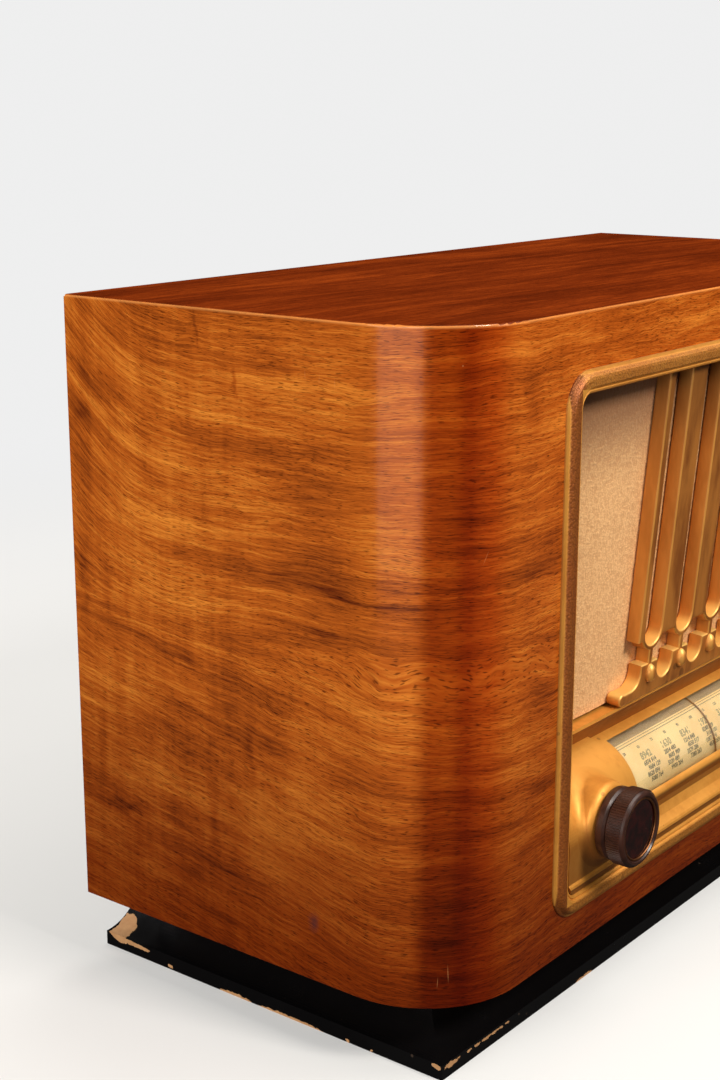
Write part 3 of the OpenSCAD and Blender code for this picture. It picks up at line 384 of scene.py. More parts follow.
# Pale scratches as middle, half sizes and slant
SCRATCHES = (
    ((-0.3274, 0.34), (0.00022, 0.0036), 2), ((-0.319, 0.339), (0.0002, 0.0034), -3),
    ((-0.31, 0.3375), (0.00018, 0.004), 1), ((-0.2509, 0.0545), (0.0003, 0.0062), 3),
    ((-0.256, 0.05), (0.00022, 0.004), -4), ((-0.2478, 0.3485), (0.0006, 0.0006), 0),
    ((-0.235, 0.26), (0.0002, 0.005), -24))


def side_wood(g, along, up, warp):
    """The side's leaf, with its bands slanting low down and steep towards the rear."""
    on_side = g.smaller(g.larger(along, -0.49), -0.285)
    low_slant = g.times(g.plus(on_side, 0.36), g.times(g.smooth(up, 0.215, 0.19), 0.17))
    rear = g.smaller(g.plus(along, 0.405), 0.0)
    steep = g.times(g.times(rear, rear), g.times(g.smooth(up, 0.15, 0.30), -5.5))
    across = g.plus(g.plus(up, low_slant), steep)
    fibres = g.noise(g.scaled(g.vector(along, across, 2.0), 62.0, 7.0, 1.0), 1.0, 3.0, 0.6)
    shift = g.times(g.times(g.minus(fibres, 0.5), g.smooth(along, -0.31, -0.40)), 0.55)
    soft_along = g.plus(along, warp)
    soft_up = g.minus(up, warp)
    for at, half, turn, strength in SIDE_FIGURE:
        shift = g.times_plus(blob(g, soft_along, soft_up, at, half, turn), strength, shift)
    return g.group("wood_figure", Grain=g.vector(along, across, 0.0), Shift=shift, **SIDE_WOOD)


def aged_tones(g, color, along, up):
    """Paints shade into the veneer's colour round the front corners and low down, and warms the front."""
    # Painted shade on the rounded front corners, where they turn away from the light
    corner = g.times(g.smooth(along, -0.272, -0.260), g.smooth(along, -0.230, -0.248))
    color = g.tint(color, corner, 0.95, (0.50, 0.28, 0.14, 1), "MULTIPLY")
    turned = g.times(g.smooth(along, -0.254, -0.242), g.smooth(along, -0.214, -0.234))
    color = g.tint(color, turned, 0.85, (0.62, 0.30, 0.14, 1), "MULTIPLY")
    # Painted shade, darker low down
    color = g.tint(color, g.smooth(up, 0.22, 0.03), 0.90, (0.31, 0.15, 0.08, 1), "MULTIPLY")
    return g.tint(color, g.smooth(along, -0.240, -0.215), 0.5, (1.0, 0.84, 0.72, 1), "MULTIPLY")


def small_marks(g, color, along, up, warp):
    """A dark joint between two leaves, a stain and a few pale scratches."""
    joint = blob(g, along, g.times_plus(warp, -0.25, up), (-0.3210, 0.2010), (0.0360, 0.0007), -1)
    color = g.tint(color, joint, 0.6, rgb(92, 40, 14))
    stain = blob(g, g.plus(along, warp), g.minus(up, warp), (-0.3243, 0.068), (0.0052, 0.0080))
    color = g.tint(color, stain, 0.45, rgb(92, 52, 50))
    for at, half, turn in SCRATCHES:
        color = g.tint(color, blob(g, along, up, at, half, turn), 0.30, rgb(226, 156, 96))
    return color


def cabinet_veneer():
    """Glossy walnut veneer that runs round the cabinet, with its own leaf on the top, painted shade round
    the front corners and low down, and a painted highlight along the top edge.
    """
    material, g, shader = new_material("cabinet_veneer", Specular_IOR_Level=0.0, Coat_Roughness=0.17)
    x, y, z = g.split(g.place())
    along, up = wrapped_place(g)
    warp = g.times(g.minus(g.noise(g.vector(along, up, 4.0), 70.0, 4.0, 0.6), 0.5), 0.016)
    side = side_wood(g, along, up, warp)
    color = aged_tones(g, side["Color"], along, up)
    color = small_marks(g, color, along, up, warp)
    top = g.group("wood_figure", Grain=g.vector(x, g.plus(y, g.times(x, 0.05)), 7.0), **TOP_WOOD)
    upward = g.facing()[2]
    is_top = g.smooth(upward, 0.5, 0.9)
    color = g.mix(is_top, color, top["Color"])
    # Painted highlight along the top edge of the sides
    rim_highlight = g.times(g.smooth(z, CAB_TOP - 0.0020, CAB_TOP - 0.0006), g.minus(1.0, is_top))
    color = g.tint(color, rim_highlight, 0.5, rgb(232, 156, 84))
    inside = g.smooth(upward, -0.5, -0.9)
    g.put(shader["Base Color"], g.mix(inside, color, rgb(120, 78, 42)))
    handled(g, shader, 9.0, 0.34, 0.46)
    g.put(shader["Coat Weight"], g.times_plus(is_top, -0.57, 0.60))
    height = g.mix(is_top, side["Height"], top["Height"])
    g.put(shader["Normal"], g.bump(height, 0.14, 0.0004))
    return material


def raw_board(name, light, dark, grain):
    """Plain unfinished board; grain picks the axis that its figure runs along."""
    material, g, shader = new_material(name, Roughness=0.72)
    x, y, z = g.split(g.place())
    order = {"x": (x, z, y), "z": (z, x, y)}[grain]
    wood = g.group("wood_figure", Grain=g.vector(*order), Light=light, Mid=g.mix(0.5, light, dark),
                   Dark=dark, Pore_Depth=0.4, Figure=0.8)
    g.put(shader["Base Color"], wood["Color"])
    g.put(shader["Normal"], g.bump(wood["Height"], 0.3, 0.0005))
    return material


def stippled_band(g, color, normal):
    """Stipples the band round the escutcheon frame's bead, browner on the frame's sides with painted shade,
    and paints shade in the recess behind it.
    """
    x, y, z = g.split(g.place())
    out_x = g.minus(FRAME_HALF_W, g.math("ABSOLUTE", x))
    out_z = g.minus(FRAME_HALF_H, g.math("ABSOLUTE", g.minus(z, FRAME_MID_Z)))
    inward = g.smaller(out_x, out_z)
    band = g.times(g.smooth(inward, 0.0014, 0.0022), g.smooth(inward, 0.0088, 0.0080))
    pebbles = g.group("pebbles", Vector=g.place(), Scale=1100.0)["Height"]
    # The band's brown is partly its own colour and partly painted shade, stronger on the frame's sides than
    # on its top
    sides = g.span(g.smooth(out_x, 0.014, 0.009), 0.0, 1.0, 0.38, 0.82)
    color = g.tint(color, band, sides, rgb(132, 56, 14))
    color = g.tint(color, g.times(g.minus(1.0, pebbles), band), 0.42, rgb(84, 36, 12))
    # Painted shade in the recess behind the frame's front
    recess_shade = g.smooth(y, FRONT_Y - 0.0029, FRONT_Y + 0.002)
    color = g.tint(color, recess_shade, 0.75, rgb(74, 38, 16))
    return color, g.bump(g.times(pebbles, band), 0.45, 0.0003, normal)


def old_gold(name, pebbled):
    """Gold paint, stippled on the frame, with painted shade on the console where it faces forward or down.
    """
    material, g, shader = new_material(name, Metallic=0.45)
    place = g.place()
    color = g.mix(handled(g, shader, 22.0, 0.46, 0.56), rgb(230, 160, 68), rgb(214, 142, 54))
    streaks = g.noise(g.scaled(place, 60.0, 60.0, 9.0), 1.0, 4.0, 0.6)
    color = g.tint(color, g.smooth(streaks, 0.56, 0.78), 0.30, rgb(132, 74, 28))
    spots = g.group("specks", Vector=place, Scale=80.0, Amount=0.20)
    color = g.tint(color, spots["Mask"], 0.40, rgb(78, 40, 18))
    normal = g.bump(g.noise(place, 1500.0, 2.0), 0.10, 0.0002)
    if pebbled:
        color, normal = stippled_band(g, color, normal)
    else:
        # Painted shade where the console faces forward or down
        color = g.tint(color, g.smooth(g.facing()[2], 0.40, -0.20), 0.75, rgb(116, 58, 18))
    g.put(shader["Base Color"], color)
    g.put(shader["Normal"], normal)
    return material


def grille_bars():
    """Gold paint on the bars, with painted shade on their faces, painted highlights on their edges and
    round bottoms, and a painted shadow at their top.
    """
    material, g, shader = new_material("grille_gold", Metallic=0.45)
    place = g.place()
    z = g.split(place)[2]
    handled(g, shader, 30.0, 0.40, 0.52)
    clouds = g.noise(g.scaled(place, 70.0, 70.0, 16.0), 1.0, 4.0, 0.6)
    around = g.facing()
    forward, upward = around[1], around[2]
    flat = g.smooth(forward, -0.80, -0.97)
    # Lit and shaded copies of the paint: the walls lighter, the faces darker with painted shade
    faces = g.mix(g.smooth(clouds, 0.36, 0.66), rgb(204, 130, 56), rgb(152, 86, 32))
    lit_walls = g.mix(g.smooth(clouds, 0.30, 0.70), rgb(222, 154, 74), rgb(186, 120, 50))
    spots = g.group("specks", Vector=place, Scale=75.0, Amount=0.26)
    color = g.tint(g.mix(flat, lit_walls, faces), spots["Mask"], 0.45, rgb(66, 32, 14))
    # Painted highlight on the bars' edges
    arris_highlight = g.times(g.smooth(forward, -0.30, -0.60), g.minus(1.0, flat))
    color = g.tint(color, arris_highlight, 0.55, rgb(240, 176, 86))
    # Painted highlight where the surface faces up, as on the round bottoms and shoulders
    color = g.mix(g.smooth(upward, 0.25, 0.8), color, rgb(246, 196, 108))
    # Painted shadow of the frame on the bars' top
    g.put(shader["Base Color"], g.tint(color, g.smooth(z, 0.27, 0.325), 0.45, rgb(92, 52, 24)))
    g.put(shader["Normal"], g.bump(g.noise(place, 1200.0, 2.0), 0.10, 0.0002))
    return material


def grille_cloth_weave():
    """Cream cloth of thick slubbed yarn, with painted shade between its loops and a painted shadow of the
    frame across its top.
    """
    material, g, shader = new_material("boucle_cloth", Roughness=0.85, Sheen_Weight=0.12)
    place = g.place()
    z = g.split(place)[2]
    loops = g.add("ShaderNodeAttribute", attribute_name="yarn_height").outputs["Fac"]
    hairs = g.noise(g.scaled(place, 1500.0, 1500.0, 900.0), 1.0, 2.0, 0.6)
    slub = g.noise(g.scaled(place, 300.0, 300.0, 210.0), 1.0, 2.0, 0.5)
    lit = g.times_plus(g.minus(slub, 0.5), 0.3, loops)
    lit = g.times_plus(g.minus(hairs, 0.5), 0.4, lit)
    # Lighter on the loops and darker with painted shade between them
    color = g.mix(g.smooth(lit, 0.02, 0.62), rgb(220, 162, 104), rgb(244, 190, 128))
    shade = g.noise(place, 22.0, 3.0, 0.6)
    color = g.tint(color, g.smooth(shade, 0.45, 0.75), 0.14, rgb(190, 150, 104))
    # Painted shadow of the frame on the cloth's top
    color = g.tint(color, g.smooth(z, 0.262, 0.318), 0.88, rgb(128, 80, 44))
    g.put(shader["Base Color"], color)
    g.put(shader["Normal"], g.bump(lit, 0.20, 0.0004))
    return material


def bakelite(name, dark, light, low, high):
    """Moulded phenolic with a mottled, handled surface."""
    material, g, shader = new_material(name)
    cloud = g.noise(g.place(), 120.0, 4.0, 0.6, 1.2)
    color = g.mix(g.smooth(cloud, 0.35, 0.7), dark, light)
    dust = g.group("specks", Vector=g.place(), Scale=520.0, Amount=0.16)
    g.put(shader["Base Color"], g.tint(color, dust["Mask"], 0.35, rgb(150, 120, 96)))
    handled(g, shader, 70.0, low, high)
    g.put(shader["Normal"], g.bump(cloud, 0.06, 0.0003))
    return material


# Chips down to the wood on the plinth, as middle, half sizes and slant
LEFT_CHIPS = (((0.127, 0.0085), (0.016, 0.0075), 24), ((0.112, 0.006), (0.024, 0.0024), 3),
              ((0.086, 0.002), (0.003, 0.002), 0), ((0.038, 0.0004), (0.022, 0.002), 0),
              ((0.0, 0.0003), (0.044, 0.0018), 0), ((-0.039, 0.0006), (0.0024, 0.0018), 0),
              ((-0.054, 0.0006), (0.0022, 0.0016), 0), ((-0.0935, 0.0066), (0.007, 0.0022), 6))
FRONT_CHIPS = (((-0.245, 0.006), (0.01, 0.003), -6), ((-0.12, 0.0004), (0.016, 0.0016), 0),
               ((0.09, 0.006), (0.005, 0.0024), 0))


def chipped_lacquer():
    """Black lacquer, worn to bare wood at the lip's edges and corners."""
    material, g, shader = new_material("black_lacquer")
    place = g.place()
    x, y, z = g.split(place)
    ragged = g.times(g.minus(g.noise(place, 260.0, 3.0, 0.6), 0.5), 0.007)
    rough_z = g.times_plus(ragged, 0.4, z)
    on_left = g.math("LESS_THAN", x, 0.06 - PLINTH_X)
    on_front = g.math("LESS_THAN", y, 0.03 + PLINTH_Y)
    chips = 0.0
    for table, along, here in ((LEFT_CHIPS, y, on_left), (FRONT_CHIPS, x, on_front)):
        rough_along = g.plus(along, ragged)
        for at, half, turn in table:
            chips = g.larger(g.times(blob(g, rough_along, rough_z, at, half, turn), here), chips)
    out_x = g.minus(PLINTH_X, x)
    corner = g.smooth(g.plus(out_x, g.math("ABSOLUTE", g.minus(y, PLINTH_Y))), 0.016, 0.0)
    edge = g.times(g.smooth(z, 0.0030, 0.0), g.smooth(out_x, 0.006, 0.001))
    patch = g.times_plus(g.larger(edge, corner), 0.32, g.noise(place, 34.0, 5.0, 0.62))
    chips = g.math("GREATER_THAN", g.larger(chips, g.minus(patch, 0.32)), 0.5)
    wood = g.mix(g.noise(place, 240.0, 3.0), rgb(206, 160, 112), rgb(168, 116, 72))
    dust = g.group("specks", Vector=place, Scale=160.0, Amount=0.15)
    black = g.tint(rgb(9, 8, 9), dust["Mask"], 0.4, rgb(92, 74, 62))
    g.put(shader["Base Color"], g.mix(chips, black, wood))
    hands = g.group("handling", Vector=place, Scale=30.0, Low=0.16, High=0.30)
    g.put(shader["Roughness"], g.larger(hands["Roughness"], g.times(chips, 0.7)))
    g.put(shader["Normal"], g.bump(g.minus(1.0, chips), 0.4, 0.0004))
    return material


def metal(name, color, shade, low, high, stretch=(30.0, 700.0, 700.0)):
    """Bare or plated metal with rolling marks and dull patches."""
    material, g, shader = new_material(name, Metallic=1.0)
    place = g.place()
    lines = g.group("rolled", Vector=place, Stretch=stretch)["Value"]
    hands = g.group("handling", Vector=place, Scale=22.0, Low=low, High=high)
    g.put(shader["Base Color"], g.mix(hands["Mask"], color, shade))
    g.put(shader["Roughness"], g.times_plus(lines, 0.12, hands["Roughness"]))
    g.put(shader["Normal"], g.bump(lines, 0.08, 0.0003))
    return material


def painted(name, color, shade, low=0.4, high=0.6):
    """Satin enamel with a slight orange peel."""
    material, g, shader = new_material(name)
    g.put(shader["Base Color"], g.mix(handled(g, shader, 24.0, low, high), color, shade))
    g.put(shader["Normal"], g.bump(g.noise(g.place(), 900.0, 2.0), 0.08, 0.0003))
    return material


def pressed_board():
    """Brown fibreboard with flecks of pulp."""
    material, g, shader = new_material("pressed_board", Roughness=0.78)
    place = g.place()
    pulp = g.noise(place, 700.0, 4.0, 0.7)
    cloud = g.noise(place, 12.0, 3.0, 0.6)
    color = g.mix(g.smooth(pulp, 0.35, 0.65), rgb(88, 58, 34), rgb(128, 90, 56))
    color = g.tint(color, g.smooth(cloud, 0.4, 0.7), 0.4, rgb(72, 46, 28))
    flecks = g.group("specks", Vector=g.scaled(place, 1.0, 1.0, 2.4), Scale=230.0, Amount=0.2)
    g.put(shader["Base Color"], g.tint(color, flecks["Mask"], 0.6, rgb(168, 132, 92)))
    g.put(shader["Normal"], g.bump(pulp, 0.35, 0.0005))
    return material


def aged_card(name):
    """Cream printing, yellower and darker towards the dial's edges."""
    material, g, shader = new_material(name, Roughness=0.55)
    place = g.place()
    x, y, z = g.split(place)
    cloud = g.noise(place, 25.0, 4.0, 0.6)
    color = g.mix(g.smooth(cloud, 0.35, 0.7), rgb(254, 224, 160), rgb(242, 204, 136))
    low = g.smooth(z, 0.104, 0.092)
    ends = g.smooth(g.math("ABSOLUTE", x), 0.078, 0.096)
    color = g.tint(color, g.larger(low, ends), 0.45, rgb(206, 160, 96))
    g.put(shader["Base Color"], color)
    g.put(shader["Normal"], g.bump(g.noise(place, 800.0, 2.0), 0.1, 0.0002))
    return material


def ink(name, color):
    """Printing ink, thin in places."""
    material, g, shader = new_material(name, Roughness=0.6)
    thin = g.noise(g.place(), 900.0, 3.0, 0.7)
    g.put(shader["Base Color"], g.mix(g.smooth(thin, 0.45, 0.8), color, rgb(150, 128, 92)))
    return material


def clear(name, tint, rough, ior=1.49):
    """Clear sheet or glass with faint smears."""
    material, g, shader = new_material(name, Transmission_Weight=1.0, IOR=ior)
    g.put(shader["Base Color"], g.mix(g.noise(g.place(), 60.0, 3.0), tint, (1, 1, 1, 1)))
    handled(g, shader, 40.0, rough, rough + 0.08)
    return material


def cloth_cord():
    """Braided cord."""
    material, g, shader = new_material("braided_cord", Roughness=0.85)
    place = g.place()
    braid = g.noise(g.scaled(place, 900.0, 900.0, 900.0), 1.0, 2.0)
    g.put(shader["Base Color"], g.mix(g.smooth(braid, 0.4, 0.6), rgb(112, 92, 60), rgb(186, 164, 122)))
    g.put(shader["Normal"], g.bump(braid, 0.5, 0.0003))
    return material


def paper_cone():
    """Black pulp with rings pressed in."""
    material, g, shader = new_material("cone_paper", Roughness=0.85)
    place = g.place()
    pulp = g.noise(place, 500.0, 4.0, 0.7)
    g.put(shader["Base Color"], g.mix(g.smooth(pulp, 0.35, 0.7), rgb(22, 20, 19), rgb(52, 47, 43)))
    g.put(shader["Normal"], g.bump(pulp, 0.4, 0.0005))
    return material


MATERIALS = {
    "veneer": cabinet_veneer(),
    "board_x": raw_board("baffle_ply", rgb(172, 128, 82), rgb(120, 80, 46), "x"),
    "board_z": raw_board("batten_wood", rgb(178, 136, 90), rgb(122, 84, 50), "z"),
    "hardboard": pressed_board(),
    "lacquer": chipped_lacquer(),
    "frame_gold": old_gold("frame_gold", True),
    "gold": old_gold("console_gold", False),
    "grille_gold": grille_bars(),
    "cloth": grille_cloth_weave(),
    "bakelite": bakelite("brown_bakelite", rgb(42, 21, 14), rgb(62, 33, 23), 0.26, 0.44),
    "base_bakelite": bakelite("black_bakelite", rgb(20, 17, 16), rgb(36, 29, 26), 0.3, 0.5),
    "inlay": bakelite("red_inlay", rgb(20, 4, 3), rgb(46, 8, 6), 0.08, 0.14),
    "knob_bronze": metal("worn_bronze", rgb(176, 118, 76), rgb(112, 66, 42), 0.26, 0.42),
    "card": aged_card("dial_card"),
    "ink": ink("dial_ink", rgb(98, 86, 56)),
    "pale_ink": ink("dial_pale_ink", rgb(166, 150, 104)),
    "fine_ink": ink("dial_fine_ink", rgb(110, 92, 58)),
    # Grey for a band of painted shadow at the dial's top, in the same thin ink as the print
    "painted_shadow_grey": ink("dial_shadow_band", rgb(172, 150, 114)),
    "dial_cover": clear("dial_cover", (1.0, 0.97, 0.90, 1), 0.03),
    "glass": clear("valve_glass", (0.93, 0.96, 0.95, 1), 0.02, 1.5),
    "lamp": clear("lamp_glass", (1.0, 0.92, 0.75, 1), 0.05, 1.5),
    "chassis": metal("plated_steel", rgb(176, 172, 158), rgb(132, 124, 104), 0.30, 0.48,
                     (30.0, 30.0, 600.0)),
    "steel": metal("bright_steel", rgb(190, 188, 184), rgb(150, 146, 140), 0.22, 0.36),
    "aluminium": metal("dull_aluminium", rgb(200, 200, 200), rgb(164, 164, 162), 0.30, 0.45),
    "brass": metal("old_brass", rgb(196, 150, 74), rgb(136, 92, 40), 0.26, 0.44),
    "laminations": metal("stacked_steel", rgb(84, 82, 82), rgb(52, 48, 46), 0.40, 0.6, (5.0, 1800.0, 5.0)),
    "grey": painted("grey_enamel", rgb(92, 96, 94), rgb(70, 72, 70)),
    "pointer_wire": painted("pointer_enamel", rgb(180, 134, 74), rgb(144, 98, 46), 0.3, 0.45),
    "rubber": painted("black_rubber", rgb(26, 25, 25), rgb(44, 42, 40), 0.65, 0.8),
    "cord": cloth_cord(),
    "cone": paper_cone(),
}

NODE_FINISH = {
    "veneer": "top_panel left_side right_side front_panel",
    "board_x": "bottom_panel baffle_board",
    "board_z": "back_battens baffle_battens",
    "hardboard": "back_cover",
    "lacquer": "plinth_front plinth_left plinth_right plinth_rear",
    "frame_gold": "escutcheon_frame",
    "gold": "console_panel",
    "grille_gold": "grille_panel",
    "cloth": "grille_cloth",
    "bakelite": "tuning_knob volume_knob band_ring tone_ring",
    "base_bakelite": "valve_bases socket_strip band_switch",
    "inlay": "tuning_inlay volume_inlay",
    "card": "dial_scale",
    "dial_cover": "dial_glass",
    "glass": "valve_bulbs",
    "lamp": "dial_lamps",
    "chassis": "chassis control_brackets",
    "steel": "pointer_rail tuning_shaft volume_shaft volume_pot tone_pot speaker_magnet",
    "aluminium": "tuning_drum capacitor_frame capacitor_stator capacitor_rotor smoothing_cans if_cans",
    "brass": "idler_upper idler_left idler_lower pointer_carriage band_sleeve tone_sleeve rear_sockets "
             "back_screws lamp_holders",
    "laminations": "mains_transformer output_transformer",
    "grey": "speaker_basket",
    "pointer_wire": "pointer",
    "rubber": "cord_grommet",
    "cord": "dial_cord",
    "cone": "speaker_cone",
}


def dress_nodes():
    for finish, names in NODE_FINISH.items():
        for name in names.split():
            mesh = nodes[name].data
            mesh.materials.clear()
            mesh.materials.append(MATERIALS[finish])


dress_nodes()


# Pieces

def new_piece(name, mesh, finish, body):
    """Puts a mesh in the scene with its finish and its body."""
    piece = put_in_scene(name, mesh)
    mesh.materials.clear()
    mesh.materials.append(MATERIALS[finish])
    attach(piece, body)
    return piece


def mesh_of(name, points, faces, smooth=False):
    mesh = bpy.data.meshes.new(name)
    mesh.from_pydata([tuple(p) for p in points], [], faces)
    mesh.update()
    if smooth:
        mesh.shade_smooth()
    return mesh


def lean(x, out, down):
    """A point of the leaning grille: out is forward of the bars' front, down is below its top."""
    return (x, GRILLE_Y - out * math.cos(TILT) + down * math.sin(TILT),
            GRILLE_TOP - out * math.sin(TILT) - down * math.cos(TILT))


def curve_shape(curve):
    """Points and faces of a filled curve, which is then removed."""
    made = put_in_scene(curve.name, curve)
    bpy.context.view_layer.update()
    mesh = bpy.data.meshes.new_from_object(made.evaluated_get(bpy.context.evaluated_depsgraph_get()))
    points = [tuple(v.co) for v in mesh.vertices]
    faces = [tuple(p.vertices) for p in mesh.polygons]
    bpy.data.objects.remove(made)
    bpy.data.meshes.remove(mesh)
    bpy.data.curves.remove(curve)
    return points, faces


def round_about(x, up, radius, start, end, steps):
    """Points of an arc from one angle to another, in degrees."""
    turns = [math.radians(start + (end - start) * i / steps) for i in range(steps + 1)]
    return [(x + radius * math.cos(turn), up + radius * math.sin(turn)) for turn in turns]


# Grille cloth

CLOTH_HALF = 0.1654
CLOTH_LOW = 0.1846
CLOTH_HIGH = 0.0013
CLOTH_FRONT = -0.00935
CLOTH_STEP = 0.0006
LOOP_WIDE = 0.0019
LOOP_ROW = 0.0014
LOOP_RISE = 0.00026
FUZZ = 0.00001
RELIEF_TOP = 0.00045


def make_cloth():
    """Thick yarn loops as a fine relief over the cloth's face, in staggered and wandering rows."""
    columns = int(2 * CLOTH_HALF / CLOTH_STEP)
    rows = int((CLOTH_LOW - CLOTH_HIGH) / CLOTH_STEP)
    xs = np.linspace(-CLOTH_HALF, CLOTH_HALF, columns + 1)
    downs = np.linspace(CLOTH_HIGH, CLOTH_LOW, rows + 1)
    across, along = np.meshgrid(xs, downs)
    rng = np.random.default_rng(11)
    drift = 0.0005 * np.sin(along * 910.0 + across * 190.0)
    drift += 0.0004 * np.sin(along * 370.0 - across * 1210.0)
    v = (along + 0.0004 * np.sin(across * 760.0 + along * 240.0) + 0.8 * drift) / LOOP_ROW
    row = np.floor(v)
    u = (across + drift) / LOOP_WIDE + 0.5 * (row % 2) + 0.31 * np.sin(row * 2.7)
    cell = (row * 977 + np.floor(u)).astype(np.int64)
    lively = (np.sin(cell * 12.9898) * 43758.5453) % 1.0
    fu = u - np.floor(u) - 0.5
    fv = v - row - 0.5 + 0.5 * fu * (lively - 0.5)
    loop = np.clip(1.0 - (2.1 * fu) ** 2, 0, 1) * np.clip(1.0 - (2.2 * fv) ** 2, 0, 1)
    loop = loop * (0.35 + 0.65 * lively) + 0.25 * lively
    height = np.clip(LOOP_RISE * loop + rng.normal(0.0, FUZZ, loop.shape), 0.0, RELIEF_TOP)
    points = [lean(x, CLOTH_FRONT + h, d) for x, d, h in zip(across.ravel(), along.ravel(), height.ravel())]
    wide = columns + 1
    faces = [(r * wide + c, (r + 1) * wide + c, (r + 1) * wide + c + 1, r * wide + c + 1)
             for r in range(rows) for c in range(columns)]
    mesh = mesh_of("grille_cloth_weave", points, faces, True)
    mesh.attributes.new("yarn_height", "FLOAT", "POINT").data.foreach_set("value", loop.ravel())
    piece = new_piece("grille_cloth_weave", mesh, "cloth", "receiver")
    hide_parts("grille_cloth")


make_cloth()


# Bar panel, measured across and up from its foot

SLOT_W = 0.0185
BAR_W = 0.01685
PITCH = SLOT_W + BAR_W
OUTER_BAR_W = 0.006
ROUND_UP = 0.030 + SLOT_W / 2
BAR_END = 0.034
RIM_R = SLOT_W / 2 + 0.003
SHORT_R = 0.0085
SHORT_UP = 0.007 + SHORT_R
SHOULDER_UP = 0.0196
LINK_HALF = 0.002
FOOT_REACH = 0.015
FOOT_FLAT = 0.007
FOOT_LOW = 0.0003
TIP_R = 0.0036
FOOT_DOWN = 0.18556
BAR_TOP = 0.1845
BAR_T = 0.009
ARRIS = 0.0013
DROP_R = 0.0039
DROP_HALF_H = 0.0053
DROP_UP = SHOULDER_UP - DROP_HALF_H - 0.0006
WELD = 0.000002


def grille_outlines():
    """The bar panel's edge and its three closed openings."""
    outer_x = 2 * PITCH
    bars_half = outer_x - BAR_W / 2 + OUTER_BAR_W
    tip_x = bars_half + FOOT_REACH - TIP_R
    link = math.degrees(math.acos(LINK_HALF / RIM_R))
    end = math.degrees(math.asin((ROUND_UP - BAR_END) / RIM_R))
    crest = math.degrees(math.asin((FOOT_FLAT - FOOT_LOW - TIP_R) / TIP_R))
    left = round_about(-tip_x, FOOT_LOW + TIP_R, TIP_R, 270, crest, 12)
    left += round_about(-outer_x, SHORT_UP, SHORT_R, 270, 360, 10)
    left += [(-outer_x + SHORT_R, SHOULDER_UP), (-1.5 * PITCH - LINK_HALF, SHOULDER_UP)]
    left += round_about(-1.5 * PITCH, ROUND_UP, RIM_R, 180 + link, 180 + end, 8)
    left += [(-bars_half, BAR_END), (-bars_half, BAR_TOP)]
    edge = list(left)
    for i in range(4):
        x = (i - 1.5) * PITCH
        edge += [(x - SLOT_W / 2, BAR_TOP)] + round_about(x, ROUND_UP, SLOT_W / 2, 180, 360, 20)
        edge += [(x + SLOT_W / 2, BAR_TOP)]
    outlines = [edge + [(-x, up) for x, up in reversed(left)]]
    for i in (-1, 0, 1):
        x, half = i * PITCH, PITCH / 2
        hole = [(x - half + LINK_HALF, SHOULDER_UP), (x - SHORT_R, SHOULDER_UP)]
        hole += round_about(x, SHORT_UP, SHORT_R, 180, 360, 18)
        hole += [(x + SHORT_R, SHOULDER_UP), (x + half - LINK_HALF, SHOULDER_UP)]
        hole += round_about(x + half, ROUND_UP, RIM_R, 180 + link, 180 + end, 8)
        hole += round_about(x - half, ROUND_UP, RIM_R, 360 - end, 360 - link, 8)
        outlines.append(hole)
    return outlines


def egg(x, up, points, faces):
    """Adds a drop that stands half out of the panel's face."""
    rings, sides = 12, 24
    start = len(points)
    for i in range(1, rings):
        rise = -math.pi / 2 + math.pi * i / rings
        reach = DROP_R * math.cos(rise) * (1.0 - 0.10 * math.sin(rise))
        for k in range(sides):
            turn = 2 * math.pi * k / sides
            points.append((x + reach * math.cos(turn), up + DROP_HALF_H * math.sin(rise),
                           BAR_T / 2 + reach * math.sin(turn)))
    for i in range(rings - 2):
        for k in range(sides):
            a, b = start + i * sides + k, start + i * sides + (k + 1) % sides
            faces.append((a, a + sides, b + sides, b))
    for first, up_end in ((start, -DROP_HALF_H), (start + (rings - 2) * sides, DROP_HALF_H)):
        tip = len(points)
        points.append((x, up + up_end, BAR_T / 2))
        for k in range(sides):
            pair = (first + k, first + (k + 1) % sides)
            faces.append((tip,) + (pair if up_end < 0 else pair[::-1]))


def make_grille():
    """Bars with rounded arrises over their slots, with a drop on each shoulder."""
    curve = bpy.data.curves.new("grille_outline", "CURVE")
    curve.dimensions = "2D"
    curve.fill_mode = "BOTH"
    curve.extrude = BAR_T / 2 - ARRIS
    curve.bevel_depth = ARRIS
    curve.bevel_resolution = 2
    curve.offset = -ARRIS
    for outline in grille_outlines():
        spline = curve.splines.new("POLY")
        spline.points.add(len(outline) - 1)
        for point, (x, up) in zip(spline.points, outline):
            point.co = (x, up, 0.0, 1.0)
        spline.use_cyclic_u = True
    points, faces = curve_shape(curve)
    for i in range(4):
        egg((i - 1.5) * PITCH, DROP_UP, points, faces)
    points = [lean(x, out - BAR_T / 2, FOOT_DOWN - up) for x, up, out in points]
    mesh = mesh_of("grille_bars", points, faces, True)
    welded = bmesh.new()
    welded.from_mesh(mesh)
    bmesh.ops.remove_doubles(welded, verts=welded.verts, dist=WELD)
    welded.to_mesh(mesh)
    welded.free()
    mesh.set_sharp_from_angle(angle=math.radians(50))
    piece = new_piece("grille_bars", mesh, "grille_gold", "receiver")
    flat = piece.modifiers.new("flat_faces", "WEIGHTED_NORMAL")
    flat.keep_sharp = True
    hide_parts("grille_panel")


make_grille()


# Trim of the controls

